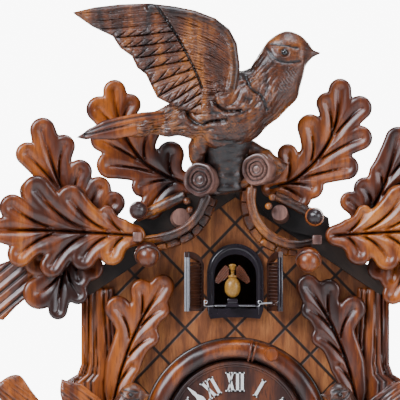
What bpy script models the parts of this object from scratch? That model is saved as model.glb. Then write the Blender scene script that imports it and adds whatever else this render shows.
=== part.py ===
"""A wall-hung cuckoo clock with an eight-day chain movement, carved oak leaves and birds.

Frame: +Z up, +X to the right as seen from the front, the front faces -Y.
The origin is where the clock rests on the wall, on the rear face of the back board under its hanging hole.
Every shape is written in millimetres about the dial's centre; one empty at the dial's
height carries them all, and `MM` turns the numbers into metres.
"""

import math

import bmesh
import bpy
from mathutils import Matrix, Vector

MM = 0.001
GAP = 0.3  # clearance kept between pieces that touch

# --- driving dimensions, mm, about the dial's centre, wall at y = 0 ---
DIAL_DROP = 150.0  # the dial's centre lies this far below the hanging point
CASE_HALF = 103.0
BOARD = 8.0
CASE_FRONT = -118.0
CASE_BOTTOM = -108.0
PANEL_HALF = 116.0
PANEL_THICK = 12.0
PANEL_FRONT = CASE_FRONT - GAP - PANEL_THICK
PEAK = 200.0  # top of the roof's ridge
ROOF_SLOPE = math.radians(34.0)
ROOF_THICK = 14.0
ROOF_HALF = 122.0
ROOF_FRONT = PANEL_FRONT - 9.0
RAIL_LOW = 58.0
HANGING_HOLE = 166.0
DIAL_R = 55.0
RING_R = 71.5
RING_INNER_R = 56.5
WINDOW_HALF = 16.5
WINDOW_LOW = 95.5
WINDOW_HIGH = 138.3
DOOR_WIDE = 24.2
DOOR_THICK = 3.4
LEFT_DOOR_OPEN, RIGHT_DOOR_OPEN = math.radians(120.0), math.radians(112.0)
DOOR_LOW, DOOR_HIGH = 93.6, 140.4
HINGE_X = 24.6
HINGE_Y = PANEL_FRONT - 8.6
PLATE_FRONT, PLATE_BACK = -108.0, -62.0  # inner faces of the movement's two plates
PLATE_THICK = 2.0
ARBOR_R = 1.5
PIVOT_R, PIVOT_HOLE_R = 0.9, 1.2
CHAIN_R = 1.6
SPROCKET_R = 12.5
CHAIN_REACH = SPROCKET_R + CHAIN_R + GAP
CUCKOO_X, CUCKOO_Y = -2.2, -146.0
CARVING_BACK = ROOF_FRONT - GAP
WEIGHT_TOP, WEIGHT_LONG, WEIGHT_R = -150.0, 150.0, 19.0
PENDULUM_Y = -48.0
PENDULUM_PIVOT_Z = 51.0
PENDULUM_BOB_Z = -238.0


# --- materials -------------------------------------------------------------
def material(name, colour, rough, metal=0.0):
    made = bpy.data.materials.new(name)
    made.use_nodes = True
    shader = made.node_tree.nodes["Principled BSDF"]
    shader.inputs["Base Color"].default_value = (*colour, 1.0)
    shader.inputs["Roughness"].default_value = rough
    shader.inputs["Metallic"].default_value = metal
    return made


def make_materials():
    return {
        "carved_wood": material("carved_wood", (0.20, 0.075, 0.025), 0.35),
        "case_wood": material("case_wood", (0.16, 0.06, 0.022), 0.45),
        "dark_trim": material("dark_trim", (0.035, 0.022, 0.02), 0.4),
        "dial_wood": material("dial_wood", (0.07, 0.028, 0.018), 0.5),
        "hand_white": material("hand_white", (0.9, 0.89, 0.86), 0.4),
        "brass": material("brass", (0.78, 0.57, 0.25), 0.3, 1.0),
        "steel": material("steel", (0.6, 0.6, 0.62), 0.3, 1.0),
        "cuckoo_gold": material("cuckoo_gold", (0.83, 0.62, 0.25), 0.5),
        "cuckoo_brown": material("cuckoo_brown", (0.22, 0.09, 0.04), 0.5),
        "pale_wood": material("pale_wood", (0.62, 0.44, 0.26), 0.6),
        "bellows_paper": material("bellows_paper", (0.75, 0.7, 0.6), 0.8),
        "cast_weight": material("cast_weight", (0.10, 0.05, 0.03), 0.5),
    }


# --- shape helpers, all in millimetres -------------------------------------
class Maker:
    """Turns bmeshes into named objects that hang from the dial's empty."""

    def __init__(self, materials):
        self.materials = materials
        self.datum = bpy.data.objects.new("dial_centre", None)
        bpy.context.scene.collection.objects.link(self.datum)
        self.datum.location = (0, 0, -DIAL_DROP * MM)

    def add(self, name, bm, finish, origin=(0, 0, 0), smooth=True, helper=False):
        """An object whose own origin is at `origin`, which is its joint's axis if it moves."""
        bmesh.ops.translate(bm, vec=-Vector(origin), verts=bm.verts)
        bmesh.ops.scale(bm, vec=(MM, MM, MM), verts=bm.verts)
        bmesh.ops.recalc_face_normals(bm, faces=bm.faces)
        mesh = bpy.data.meshes.new(name)
        bm.to_mesh(mesh)
        bm.free()
        if smooth:
            mesh.shade_smooth()
            mesh.set_sharp_from_angle(angle=math.radians(35))
        made = bpy.data.objects.new(name, mesh)
        bpy.context.scene.collection.objects.link(made)
        made.parent = self.datum
        made.location = Vector(origin) * MM
        if helper:
            made.hide_render = True
            made.display_type = "WIRE"
        else:
            mesh.materials.append(self.materials[finish])
        return made

    def helper(self, bm, origin=(0, 0, 0)):
        return self.add("helper", bm, None, origin, smooth=False, helper=True)

    def cut(self, target, *tools):
        self._combine(target, tools, "DIFFERENCE")

    def join(self, target, *tools):
        self._combine(target, tools, "UNION")

    def _combine(self, target, tools, operation):
        for bm in tools:
            tool = self.helper(bm)
            step = target.modifiers.new("combine", "BOOLEAN")
            step.operation = operation
            step.solver = "EXACT"
            step.object = tool


def box(x0, x1, y0, y1, z0, z1):
    bm = bmesh.new()
    bmesh.ops.create_cube(bm, size=1.0)
    bmesh.ops.scale(bm, vec=(x1 - x0, y1 - y0, z1 - z0), verts=bm.verts)
    middle = Vector(((x0 + x1) / 2, (y0 + y1) / 2, (z0 + z1) / 2))
    bmesh.ops.translate(bm, vec=middle, verts=bm.verts)
    return bm


def prism(outline, y0, y1):
    """The closed outline of (x, z) points, carried from y0 to y1."""
    bm = bmesh.new()
    face = bm.faces.new([bm.verts.new((x, y0, z)) for x, z in outline])
    grown = bmesh.ops.extrude_face_region(bm, geom=[face])["geom"]
    moved = [v for v in grown if isinstance(v, bmesh.types.BMVert)]
    bmesh.ops.translate(bm, vec=(0, y1 - y0, 0), verts=moved)
    return bm


def rod(radius, start, end, sides=16, end_radius=None):
    """A round bar, or a cone, between two points."""
    start, end = Vector(start), Vector(end)
    bm = bmesh.new()
    along = end - start
    bmesh.ops.create_cone(
        bm, cap_ends=True, segments=sides, radius1=radius,
        radius2=radius if end_radius is None else end_radius, depth=along.length,
    )
    turn = along.to_track_quat("Z", "Y").to_matrix()
    bmesh.ops.rotate(bm, cent=(0, 0, 0), matrix=turn, verts=bm.verts)
    bmesh.ops.translate(bm, vec=(start + end) / 2, verts=bm.verts)
    return bm


def turned(profile, sides, centre=(0, 0, 0), along="Z"):
    """A turned shape from (radius, height) points, closed on itself or ending on the axis."""
    bm = bmesh.new()
    points = [bm.verts.new((radius, 0, height)) for radius, height in profile]
    closed = min(radius for radius, _ in profile) > 0
    pairs = list(zip(points, points[1:] + points[:1])) if closed else list(zip(points, points[1:]))
    edges = [bm.edges.new(pair) for pair in pairs]
    bmesh.ops.spin(
        bm, geom=points + edges, cent=(0, 0, 0), axis=(0, 0, 1),
        angle=math.tau, steps=sides, use_merge=True,
    )
    bmesh.ops.remove_doubles(bm, verts=bm.verts, dist=1e-4)
    if along == "-Y":
        bmesh.ops.rotate(bm, cent=(0, 0, 0), matrix=Matrix.Rotation(math.pi / 2, 3, "X"), verts=bm.verts)
    bmesh.ops.translate(bm, vec=Vector(centre), verts=bm.verts)
    return bm


def loft(sections, sides):
    """A closed skin over oval sections: each is (centre, half of its height as a vector, half depth)."""
    bm = bmesh.new()
    rings = []
    for centre, rise, depth in sections:
        centre, rise = Vector(centre), Vector(rise)
        ring = [
            bm.verts.new(centre + rise * math.cos(a) + Vector((0, depth * math.sin(a), 0)))
            for a in (math.tau * i / sides for i in range(sides))
        ]
        rings.append(ring)
    for one, other in zip(rings, rings[1:]):
        for i in range(sides):
            j = (i + 1) % sides
            bm.faces.new((one[i], one[j], other[j], other[i]))
    bm.faces.new(rings[0])
    bm.faces.new(rings[-1][::-1])
    return bm


def arc(centre_x, centre_z, radius, start, end, steps):
    """Points on an arc, angles in degrees from +X towards +Z."""
    return [
        (centre_x + radius * math.cos(a), centre_z + radius * math.sin(a))
        for a in (math.radians(start + (end - start) * i / steps) for i in range(steps + 1))
    ]


class Wheel:
    """A clock wheel or pinion with pointed teeth that reach halfway into its partner's gaps."""

    def __init__(self, teeth, module, place=(0.0, 0.0), phase=0.0):
        self.teeth, self.module, self.place, self.phase = teeth, module, place, phase

    @property
    def radius(self):
        return self.teeth * self.module / 2

    def outline(self):
        tip, root = self.radius + 0.45 * self.module, self.radius - 1.35 * self.module
        points = []
        for i in range(2 * self.teeth):
            reach, angle = (root if i % 2 else tip), self.phase + math.pi * i / self.teeth
            points.append((self.place[0] + reach * math.cos(angle), self.place[1] + reach * math.sin(angle)))
        return points

    def partner(self, teeth, place):
        """The wheel at `place` whose teeth stand in this one's gaps on the line of centres."""
        line = math.atan2(place[1] - self.place[1], place[0] - self.place[0])
        phase = line + math.pi - (self.phase - line) * self.teeth / teeth - math.pi / teeth
        return Wheel(teeth, self.module, place, phase)


# --- oak leaves ------------------------------------------------------------
SIDE_LOBES = ((0.23, 0.94), (0.42, 1.0), (0.60, 0.74))  # place along the rib, share of the reach
LOBE_HALF = 0.10
SINUS = 0.46
TERMINAL_START = 0.76
STEM_SHARE = 0.035


def leaf_reach(u, reach, terminal):
    """How far the blade reaches from its rib at u, 0 at the stem and 1 at the tip."""
    if u > TERMINAL_START:
        t = (u - TERMINAL_START) / (1 - TERMINAL_START)
        swell = terminal * math.sqrt(max(0.0, 1 - ((t - 0.5) / 0.51) ** 2))
        return swell if t > 0.5 else max(swell, terminal * 0.6)
    best = max(STEM_SHARE, 0.42 * reach * min(1.0, (u - 0.06) / 0.12))
    for place, share in SIDE_LOBES:
        t = (u - place) / LOBE_HALF
        if abs(t) < 1:
            best = max(best, reach * share * (SINUS + (1 - SINUS) * math.sqrt(1 - t * t)))
    return best


def leaf_point(u, side, share, base, tip, bow, reach, terminal):
    """The (x, z) point at u along a leaf's rib and `share` of the way out to its edge."""
    base, tip = Vector(base), Vector(tip)
    chord = tip - base
    normal = Vector((-chord.y, chord.x))
    rib = base + chord * u + normal * (bow * 4 * u * (1 - u))
    ahead = (chord + normal * (bow * 4 * (1 - 2 * u))).normalized()
    across = Vector((-ahead.y, ahead.x)) * side
    turn = max(0.0, min(1.0, (u - 0.70) / 0.06))
    lean = math.radians(60 - 10 * u) * (1 - turn) + math.radians(90) * turn
    out = leaf_reach(u, reach, terminal) * chord.length * share
    return rib + across * (out * math.sin(lean)) + ahead * (out * math.cos(lean))


def leaf_outline(base, tip, bow, reach, terminal=0.10):
    """An oak leaf's outline: stem, three lobes to a side and a rounded end."""
    stops = [0.0, 0.08]
    for place, _ in SIDE_LOBES:
        stops += [place + LOBE_HALF * t for t in (-0.9, -0.4, 0.4, 0.9)]
    stops += [0.77, 0.84, 0.93, 0.98]
    left = [leaf_point(u, 1, 1.0, base, tip, bow, reach, terminal) for u in stops]
    right = [leaf_point(u, -1, 1.0, base, tip, bow, reach, terminal) for u in stops]
    return [tuple(p) for p in left] + [tuple(tip)] + [tuple(p) for p in reversed(right)]


LEAF_THICK = 9.0
END_BLADE = [
    (-120, 146), (-150, 142), (-184, 130), (-206.5, 118), (-206.5, 100), (-196, 88), (-182, 86.5), (-172, 97),
    (-163, 104.6), (-150, 118), (-128, 132),
]
# Each leaf: stem, tip, bow of its rib, reach of its lobes as a share of its length, y of its back.
UPPER_LEAF = ((-40.0, 196.0), (-96.0, 277.0), 0.07, 0.40, CARVING_BACK)
OUTER_LEAF = ((-82.0, 172.0), (-154.0, 244.0), 0.06, 0.36, CARVING_BACK)
LOWER_LEAF = ((-100.0, 148.0), (-139.0, 86.0), -0.10, 0.46, CARVING_BACK)
FRONT_LEAF = ((-77.0, 153.0), (-190.0, 156.0), -0.02, 0.38, CARVING_BACK - LEAF_THICK - GAP)
POST_LEAF = ((-96.0, 22.0), (-54.0, 119.0), 0.05, 0.28, PANEL_FRONT - 6.5)


def leaf_prism(leaf, mirror=1.0, thick=LEAF_THICK):
    base, tip, bow, reach, back = leaf
    outline = leaf_outline(base, tip, bow, reach)
    return prism([(x * mirror, z) for x, z in outline], back, back - thick)


def mirrored(bm):
    """The same shape on the clock's other side."""
    bmesh.ops.scale(bm, vec=(-1, 1, 1), verts=bm.verts)
    bmesh.ops.reverse_faces(bm, faces=bm.faces)
    return bm


# --- the case --------------------------------------------------------------
def roof_under(x):
    """Height of the roof's underside above the dial's centre, x from the middle."""
    return PEAK - ROOF_THICK / math.cos(ROOF_SLOPE) - abs(x) * math.tan(ROOF_SLOPE)


def make_case(make):
    inner = CASE_HALF - BOARD
    edge, eaves = inner - GAP, roof_under(inner) - GAP
    gable = [(-edge, RAIL_LOW), (edge, RAIL_LOW), (edge, eaves), (0, roof_under(0) - GAP), (-edge, eaves)]
    back = make.add("back_board", prism(gable, 0, -10), "case_wood", smooth=False)
    make.cut(back, rod(4.0, (0, -11, HANGING_HOLE), (0, 1, HANGING_HOLE)))
    cover = make.add(
        "rear_cover", box(-inner + 0.8, inner - 0.8, -5.5, -1.0, CASE_BOTTOM + 1, RAIL_LOW - 0.8),
        "case_wood", origin=(-inner + 0.8, -1.0, 0), smooth=False,
    )
    make.cut(cover, rod(9.0, (45, -7, 30), (45, 1, 30)))
    for name, side in (("left_side", -1), ("right_side", 1)):
        wall = make.add(
            name,
            prism(
                [(side * inner, CASE_BOTTOM), (side * CASE_HALF, CASE_BOTTOM),
                 (side * CASE_HALF, roof_under(CASE_HALF) - GAP), (side * inner, roof_under(CASE_HALF) - GAP)],
                0, CASE_FRONT,
            ),
            "case_wood", smooth=False,
        )
        for low in (20, 32, 44):
            make.cut(wall, box(side * 99 - 6, side * 99 + 6, -100, -70, low, low + 6))
    floor = make.add(
        "case_floor", box(-inner + GAP, inner - GAP, CASE_FRONT, -7, CASE_BOTTOM, CASE_BOTTOM + BOARD),
        "case_wood", smooth=False,
    )
    low, high = CASE_BOTTOM - 2, CASE_BOTTOM + BOARD + 2
    make.cut(floor, box(-22, 22, PENDULUM_Y - 6, PENDULUM_Y + 6, low, high))
    for x, y in chain_places():
        make.cut(floor, box(x - 5, x + 5, y - 5, y + 5, low, high))
    for name, side in (("left_roof", -1), ("right_roof", 1)):
        rise = math.tan(ROOF_SLOPE)
        drop = ROOF_THICK / math.cos(ROOF_SLOPE)
        top, far = PEAK, ROOF_HALF
        skew = ROOF_THICK * math.sin(ROOF_SLOPE)
        make.add(
            name,
            prism(
                [(side * GAP / 2, top - drop), (side * GAP / 2, top), (side * far, top - far * rise),
                 (side * (far - skew), top - (far - skew) * rise - drop)],
                0, ROOF_FRONT,
            ),
            "carved_wood", smooth=False,
        )


def arch(half, low, high, steps=10):
    """A round-topped opening's outline."""
    spring = high - half
    return [(-half, low), (half, low)] + arc(0, spring, half, 0, 180, steps)


def make_front(make):
    top = PANEL_HALF
    panel = make.add(
        "front_panel",
        prism(
            [(-top, CASE_BOTTOM), (top, CASE_BOTTOM), (top, roof_under(top) - GAP),
             (0, roof_under(0) - GAP), (-top, roof_under(top) - GAP)],
            CASE_FRONT - GAP, PANEL_FRONT,
        ),
        "carved_wood", smooth=False,
    )
    make.cut(
        panel,
        prism(arch(WINDOW_HALF + 2, WINDOW_LOW - 1, WINDOW_HIGH + 2), CASE_FRONT + 2, PANEL_FRONT - 2),
        rod(6.0, (0, CASE_FRONT + 2, 0), (0, PANEL_FRONT - 2, 0)),
    )
    for name, side in (("left_post", -1), ("right_post", 1)):
        edge = PANEL_FRONT - GAP
        outline = [
            (-120, 96), (-120, 62), (-124, 42), (-133, 24), (-136, -20), (-128, -70), (-118, -100),
            (-92, -100), (-86, -60), (-84, -10), (-86, 22), (-92, 50), (-94, 96),
        ]
        post = make.add(
            name, prism([(-x * side, z) for x, z in outline], edge, edge - 7), "carved_wood", smooth=False
        )
        make.join(post, leaf_prism(POST_LEAF, -side, 8.0))


def make_dial(make):
    back = -(PANEL_FRONT - GAP)
    make.add(
        "dial_ring",
        turned(
            [(RING_INNER_R, back), (RING_R, back), (RING_R, back + 4), (RING_R - 3, back + 7),
             (RING_R - 4, back + 11), (65, back + 14), (61.5, back + 13), (59.5, back + 9),
             (RING_INNER_R, back + 8)],
            48, along="-Y",
        ),
        "carved_wood",
    )
    make.add(
        "dial",
        turned([(5.0, back), (DIAL_R, back), (DIAL_R, back + 3), (DIAL_R - 2, back + 4), (5.0, back + 4)], 48, along="-Y"),
        "dial_wood",
    )


def hand_outline(length, boss):
    """A carved hand pointing up: round boss, narrow neck, two leaf-shaped swellings and a tip."""
    right = [(1.3, 0.30), (1.2, 0.42), (3.4, 0.52), (1.2, 0.64), (2.7, 0.74), (0.9, 0.86)]
    blade = [(x, length * z) for x, z in right]
    return arc(0, 0, boss, 110, 430, 12) + blade + [(0, length)] + [(-x, z) for x, z in blade[::-1]]


def make_hand(make, name, length, wide, angle, front, back, bore):
    turn = Matrix.Rotation(math.radians(angle), 2)
    outline = [tuple(turn @ Vector(p)) for p in hand_outline(length, wide)]
    hand = make.add(name, prism(outline, back, front), "hand_white", smooth=False)
    make.cut(hand, rod(bore, (0, back + 2, 0), (0, front - 2, 0)))


def make_hands(make):
    # The hands say eight minutes to two: angles are anticlockwise from twelve.
    make_hand(make, "minute_hand", 51.0, 5.0, 48.0, -144.6, -143.0, 1.8)
    make_hand(make, "hour_hand", 34.0, 6.5, -56.0, -141.0, -139.4, 3.3)
    make.add("hand_nut", turned([(0, 145.0), (3.2, 145.0), (3.2, 146.6), (1.6, 148.0), (0, 148.0)], 12, along="-Y"), "brass")


# --- the cuckoo's window ---------------------------------------------------
def door_outline(side):
    """A door lying closed, about its hinge: straight at its hinge, arched up to the middle."""
    spring = DOOR_HIGH - 12
    curve = [(side * DOOR_WIDE * t, spring + 12 * math.sqrt(1 - (1 - t) ** 2 * 0.9)) for t in (1, 0.75, 0.5, 0.25, 0.0)]
    return [(0, DOOR_LOW), (side * DOOR_WIDE, DOOR_LOW)] + curve


def make_window(make):
    frame = make.add(
        "window_frame",
        prism(
            [(-22, WINDOW_LOW - 1.5), (-19.5, 87.5), (-8, 88.6), (8, 88.6), (19.5, 87.5), (22, WINDOW_LOW - 1.5)]
            + arc(0, 146.5 - 22, 22, 0, 180, 14),
            PANEL_FRONT - GAP, PANEL_FRONT - 6,
        ),
        "dark_trim", smooth=False,
    )
    make.cut(frame, prism(arch(WINDOW_HALF, WINDOW_LOW, WINDOW_HIGH), PANEL_FRONT + 2, PANEL_FRONT - 8))
    make.join(frame, box(-8, 8, PANEL_FRONT - 3, -96, 94.8, 96.6))
    for name, side, opened in (("left_door", 1, LEFT_DOOR_OPEN), ("right_door", -1, RIGHT_DOOR_OPEN)):
        hinge = (-side * HINGE_X, HINGE_Y, 0)
        bm = prism(door_outline(side), 0, -DOOR_THICK)
        bmesh.ops.rotate(bm, cent=(0, 0, 0), matrix=Matrix.Rotation(-side * opened, 3, "Z"), verts=bm.verts)
        bmesh.ops.translate(bm, vec=hinge, verts=bm.verts)
        make.add(name, bm, "case_wood", origin=hinge, smooth=False)


def make_cuckoo(make):
    floor = WINDOW_LOW + 3
    carriage = make.add(
        "cuckoo_carriage", box(CUCKOO_X - 5, CUCKOO_X + 5, CUCKOO_Y - 4, -70, floor - 1.5, floor + 1), "steel", smooth=False
    )
    make.join(carriage, rod(0.6, (-15.5, CUCKOO_Y - 3, floor), (15.5, CUCKOO_Y - 3, floor), 8))
    body = [
        (0, 103, 1.2), (0, 105, 4.2), (0.5, 110, 5.6), (1, 116, 5.2), (1, 120, 3.2),
        (0.4, 123, 2.6), (-0.6, 126.5, 3.0), (-0.4, 129.5, 1.4),
    ]
    shape = make.add(
        "cuckoo_body",
        loft([((CUCKOO_X, CUCKOO_Y + y, z), (radius, 0, 0), radius * 0.95) for y, z, radius in body], 14),
        "cuckoo_gold",
    )
    make.join(
        shape,
        rod(2.0, (CUCKOO_X, CUCKOO_Y + 0.5, floor + 1 + GAP), (CUCKOO_X, CUCKOO_Y + 0.5, 104.5), 10),
        rod(1.6, (CUCKOO_X, CUCKOO_Y - 1.5, 127.0), (CUCKOO_X, CUCKOO_Y - 8.5, 126.8), 8, 0.3),
    )
    hinge = (CUCKOO_X, CUCKOO_Y - 3.4, 124.3)
    beak = rod(1.2, hinge, (CUCKOO_X, CUCKOO_Y - 8.0, 124.0), 8, 0.3)
    make.add("cuckoo_beak", beak, "cuckoo_gold", origin=hinge)
    for name, side in (("cuckoo_left_wing", -1), ("cuckoo_right_wing", 1)):
        outline = [(3.4, 121.5), (6.6, 121.0), (13.0, 112.0), (13.2, 109.0), (10.5, 109.6), (6.4, 113.5)]
        bm = prism([(CUCKOO_X + side * x, z) for x, z in outline], CUCKOO_Y + 6.8, CUCKOO_Y + 8.2)
        pivot = (CUCKOO_X + side * 5.0, CUCKOO_Y + 7.5, 120.5)
        make.add(name, bm, "cuckoo_brown", origin=pivot, smooth=False)


# --- the movement ----------------------------------------------------------
PLATE_OUTLINE = [(-46, -51), (46, -51), (46, 50), (30, 57), (-30, 57), (-46, 50)]
GREAT = (21.64, -21.64)
CENTRE = (0.0, 0.0)
THIRD = (12.65, 18.0)
ESCAPE = (0.0, 36.0)
VERGE = (0.0, PENDULUM_PIVOT_Z)
STRIKE_GREAT = (-21.64, -21.64)
HAMMER_WHEEL = (-20.0, 8.92)
FLY = (-24.0, 23.79)
HAMMER_ARBOR = (-38.0, -8.0)
MINUTE_STUD = (0.0, -16.0)
TIME_CHAIN_Y, STRIKE_CHAIN_Y = -82.0, -92.0
PILLARS = ((-41.0, -46.0), (41.0, -46.0), (-41.0, 44.0), (41.0, 44.0))


def chain_places():
    """Where the four chain strands pass through the case floor."""
    return [
        (GREAT[0] + CHAIN_REACH, TIME_CHAIN_Y), (GREAT[0] - CHAIN_REACH, TIME_CHAIN_Y),
        (STRIKE_GREAT[0] - CHAIN_REACH, STRIKE_CHAIN_Y), (STRIKE_GREAT[0] + CHAIN_REACH, STRIKE_CHAIN_Y),
    ]


def make_plates(make):
    front = make.add(
        "movement_front_plate", prism(PLATE_OUTLINE, PLATE_FRONT, PLATE_FRONT - PLATE_THICK), "brass", smooth=False
    )
    back = make.add(
        "movement_back_plate", prism(PLATE_OUTLINE, PLATE_BACK, PLATE_BACK + PLATE_THICK), "brass", smooth=False
    )
    both = (GREAT, THIRD, ESCAPE, STRIKE_GREAT, HAMMER_WHEEL, FLY, VERGE)
    for x, z in both:
        make.cut(front, rod(PIVOT_HOLE_R, (x, PLATE_FRONT + 2, z), (x, PLATE_FRONT - 4, z), 12))
    for x, z in both[:-1] + (CENTRE, HAMMER_ARBOR):
        make.cut(back, rod(PIVOT_HOLE_R, (x, PLATE_BACK - 2, z), (x, PLATE_BACK + 4, z), 12))
    for plate, y in ((front, PLATE_FRONT), (back, PLATE_BACK + PLATE_THICK)):
        place = CENTRE if plate is front else VERGE
        make.cut(plate, rod(ARBOR_R + GAP, (place[0], y + 4, place[1]), (place[0], y - 4, place[1]), 16))
    stud_x, stud_z = MINUTE_STUD
    make.join(front, rod(1.0, (stud_x, PLATE_FRONT - 1, stud_z), (stud_x, -116.0, stud_z), 10))
    for x, z in PILLARS:
        make.cut(front, rod(2.6, (x, PLATE_FRONT + 2, z), (x, PLATE_FRONT - 4, z), 12))
        make.join(back, rod(2.2, (x, PLATE_BACK + 1, z), (x, CASE_FRONT + GAP, z), 12))
    cock = PENDULUM_PIVOT_Z + 3.2
    make.join(back, rod(1.0, (0, PLATE_BACK + 1, cock), (0, PENDULUM_Y + 4, cock), 10))


def arbor(make, name, place, finish="brass", wheels=(), front=None, back=None):
    """An arbor between the plates with its pivots; `wheels` lists (wheel, y of its middle, thickness)."""
    x, z = place
    made = make.add(
        name,
        rod(ARBOR_R, (x, front or PLATE_FRONT + GAP, z), (x, back or PLATE_BACK - GAP, z), 12),
        finish, origin=(x, 0, z),
    )
    for wheel, y, thick in wheels:
        make.join(made, prism(wheel.outline(), y + thick / 2, y - thick / 2))
    if not front:
        make.join(made, rod(PIVOT_R, (x, PLATE_FRONT + 1, z), (x, PLATE_FRONT - PLATE_THICK - 0.6, z), 12))
    if not back:
        make.join(made, rod(PIVOT_R, (x, PLATE_BACK - 1, z), (x, PLATE_BACK + PLATE_THICK + 0.6, z), 12))
    return made


def make_time_train(make):
    great = Wheel(60, 0.9, GREAT)
    centre = Wheel(72, 0.55, CENTRE)
    third = Wheel(80, 0.5, THIRD)
    escape = Wheel(36, 0.58, ESCAPE)
    sprocket = rod(SPROCKET_R, (GREAT[0], TIME_CHAIN_Y + 3, GREAT[1]), (GREAT[0], TIME_CHAIN_Y - 3, GREAT[1]), 24)
    make.join(arbor(make, "time_chain_wheel", GREAT, wheels=((great, -70, 2.5),)), sprocket)
    cannon = Wheel(10, 0.8, CENTRE)
    arbor(
        make, "centre_wheel", CENTRE, front=-144.8,
        wheels=((great.partner(8, CENTRE), -70, 5), (centre, -75.5, 2.0), (cannon, -112, 1.6)),
    )
    arbor(make, "third_wheel", THIRD, wheels=((centre.partner(8, THIRD), -75.5, 4), (third, -88, 2.0)))
    arbor(make, "escape_wheel", ESCAPE, wheels=((third.partner(8, ESCAPE), -88, 4), (escape, -100, 2.0)))
    minute = cannon.partner(30, MINUTE_STUD)
    pinion = Wheel(9, 32 / 45, MINUTE_STUD)
    x, z = MINUTE_STUD
    wheel = make.add("minute_wheel", prism(minute.outline(), -111.2, -112.8), "brass", origin=(x, 0, z))
    make.join(wheel, prism(pinion.outline(), -112.5, -115.8))
    make.cut(wheel, rod(1.3, (x, -109, z), (x, -118, z), 12))
    hour = make.add("hour_wheel", prism(pinion.partner(36, CENTRE).outline(), -113.9, -115.5), "brass")
    make.join(hour, rod(3.0, (0, -114.8, 0), (0, -141.2, 0), 16))
    make.cut(hour, rod(1.9, (0, -112, 0), (0, -145, 0), 16))


def make_strike_train(make):
    great = Wheel(60, 0.9, STRIKE_GREAT)
    pins = Wheel(48, 0.55, HAMMER_WHEEL)
    x, z = STRIKE_GREAT
    sprocket = rod(SPROCKET_R, (x, STRIKE_CHAIN_Y + 3, z), (x, STRIKE_CHAIN_Y - 3, z), 24)
    make.join(arbor(make, "strike_chain_wheel", STRIKE_GREAT, wheels=((great, -104, 2.5),)), sprocket)
    arbor(
        make, "hammer_wheel", HAMMER_WHEEL,
        wheels=((great.partner(8, HAMMER_WHEEL), -103.9, 4), (pins, -98.2, 2.0)),
    )
    fly = arbor(make, "fly", FLY, wheels=((pins.partner(8, FLY), -98.2, 4),))
    make.join(fly, box(FLY[0] - 11, FLY[0] + 11, -86, -66, FLY[1] - 0.6, FLY[1] + 0.6))


def make_verge(make):
    x, z = VERGE
    verge = arbor(make, "verge", VERGE, finish="steel", back=PENDULUM_Y - 3)
    anchor = [(-11, z - 9), (-8.5, z - 6.5), (0, z - 2.5), (8.5, z - 6.5), (11, z - 9), (9, z - 2), (0, z + 3.5), (-9, z - 2)]
    make.join(verge, prism(anchor, -98.8, -101.2))
    make.join(verge, rod(0.9, (x, PENDULUM_Y - 4.0, z), (x, PENDULUM_Y - 4.0, z - 46), 10))


def make_pendulum(make):
    pivot = (0, PENDULUM_Y, PENDULUM_PIVOT_Z)
    rod_piece = make.add(
        "pendulum_rod", box(-3, 3, PENDULUM_Y - 1.4, PENDULUM_Y + 1.4, -282, PENDULUM_PIVOT_Z - 4), "pale_wood",
        origin=pivot, smooth=False,
    )
    make.join(rod_piece, rod(0.8, (0, PENDULUM_Y, PENDULUM_PIVOT_Z - 6), (0, PENDULUM_Y, PENDULUM_PIVOT_Z + 1.9), 10))
    bob = leaf_outline((0.0, -210.0), (0.0, -300.0), 0.0, 0.36, 0.10)
    make.add("pendulum_bob", prism(bob, PENDULUM_Y - 1.8, PENDULUM_Y - 8.5), "carved_wood", origin=pivot, smooth=False)


def make_sound(make):
    gong = bpy.data.curves.new("gong", "CURVE")
    gong.dimensions = "3D"
    spline = gong.splines.new("POLY")
    turns, steps, inner, outer = 2.75, 44, 12.0, 30.0
    spline.points.add(steps)
    for i in range(steps + 1):
        a, r = math.tau * turns * i / steps, inner + (outer - inner) * i / steps
        spline.points[i].co = (r * math.cos(a) * MM, 0, r * math.sin(a) * MM, 1)
    gong.bevel_depth = 0.9 * MM
    gong.bevel_resolution = 1
    gong.use_fill_caps = True
    gong.materials.append(make.materials["steel"])
    coil = bpy.data.objects.new("gong", gong)
    bpy.context.scene.collection.objects.link(coil)
    coil.parent = make.datum
    coil.location = Vector((48, -22, -48)) * MM
    make.add("gong_block", box(39, 57, -28, -16, CASE_BOTTOM + BOARD + GAP, -79.2), "pale_wood", smooth=False)
    x, z = HAMMER_ARBOR
    head = Vector((14.5, -23, -48))
    hammer = make.add("gong_hammer", rod(1.6, (x, -59.5, z), (x, -21, z), 10), "steel", origin=(x, 0, z))
    make.join(
        hammer,
        rod(PIVOT_R, (x, -58.5, z), (x, PLATE_BACK - 0.6, z), 12),
        rod(1.0, (x, -23, z), head, 10),
        rod(3.2, head - Vector((3.5, 0, 0)), head + Vector((3.0, 0, 0)), 12),
    )


def make_bellows(make):
    for word, side in (("left", -1), ("right", 1)):
        x0, x1 = sorted((side * 66, side * 93.5))
        pipe = make.add(f"{word}_whistle", box(x0, x1, -112, -84, -30, 62), "pale_wood", smooth=False)
        make.cut(pipe, box(x0 + 3, x1 - 3, -109, -87, -26, 58), box(x0 + 6, x1 - 6, -116, -104, 44, 49))
        bm = box(x0, x1, -112, -72, 62.6, 74)
        make.add(f"{word}_bellows_lid", bm, "bellows_paper", origin=(0, -72, 62.6), smooth=False)


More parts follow.
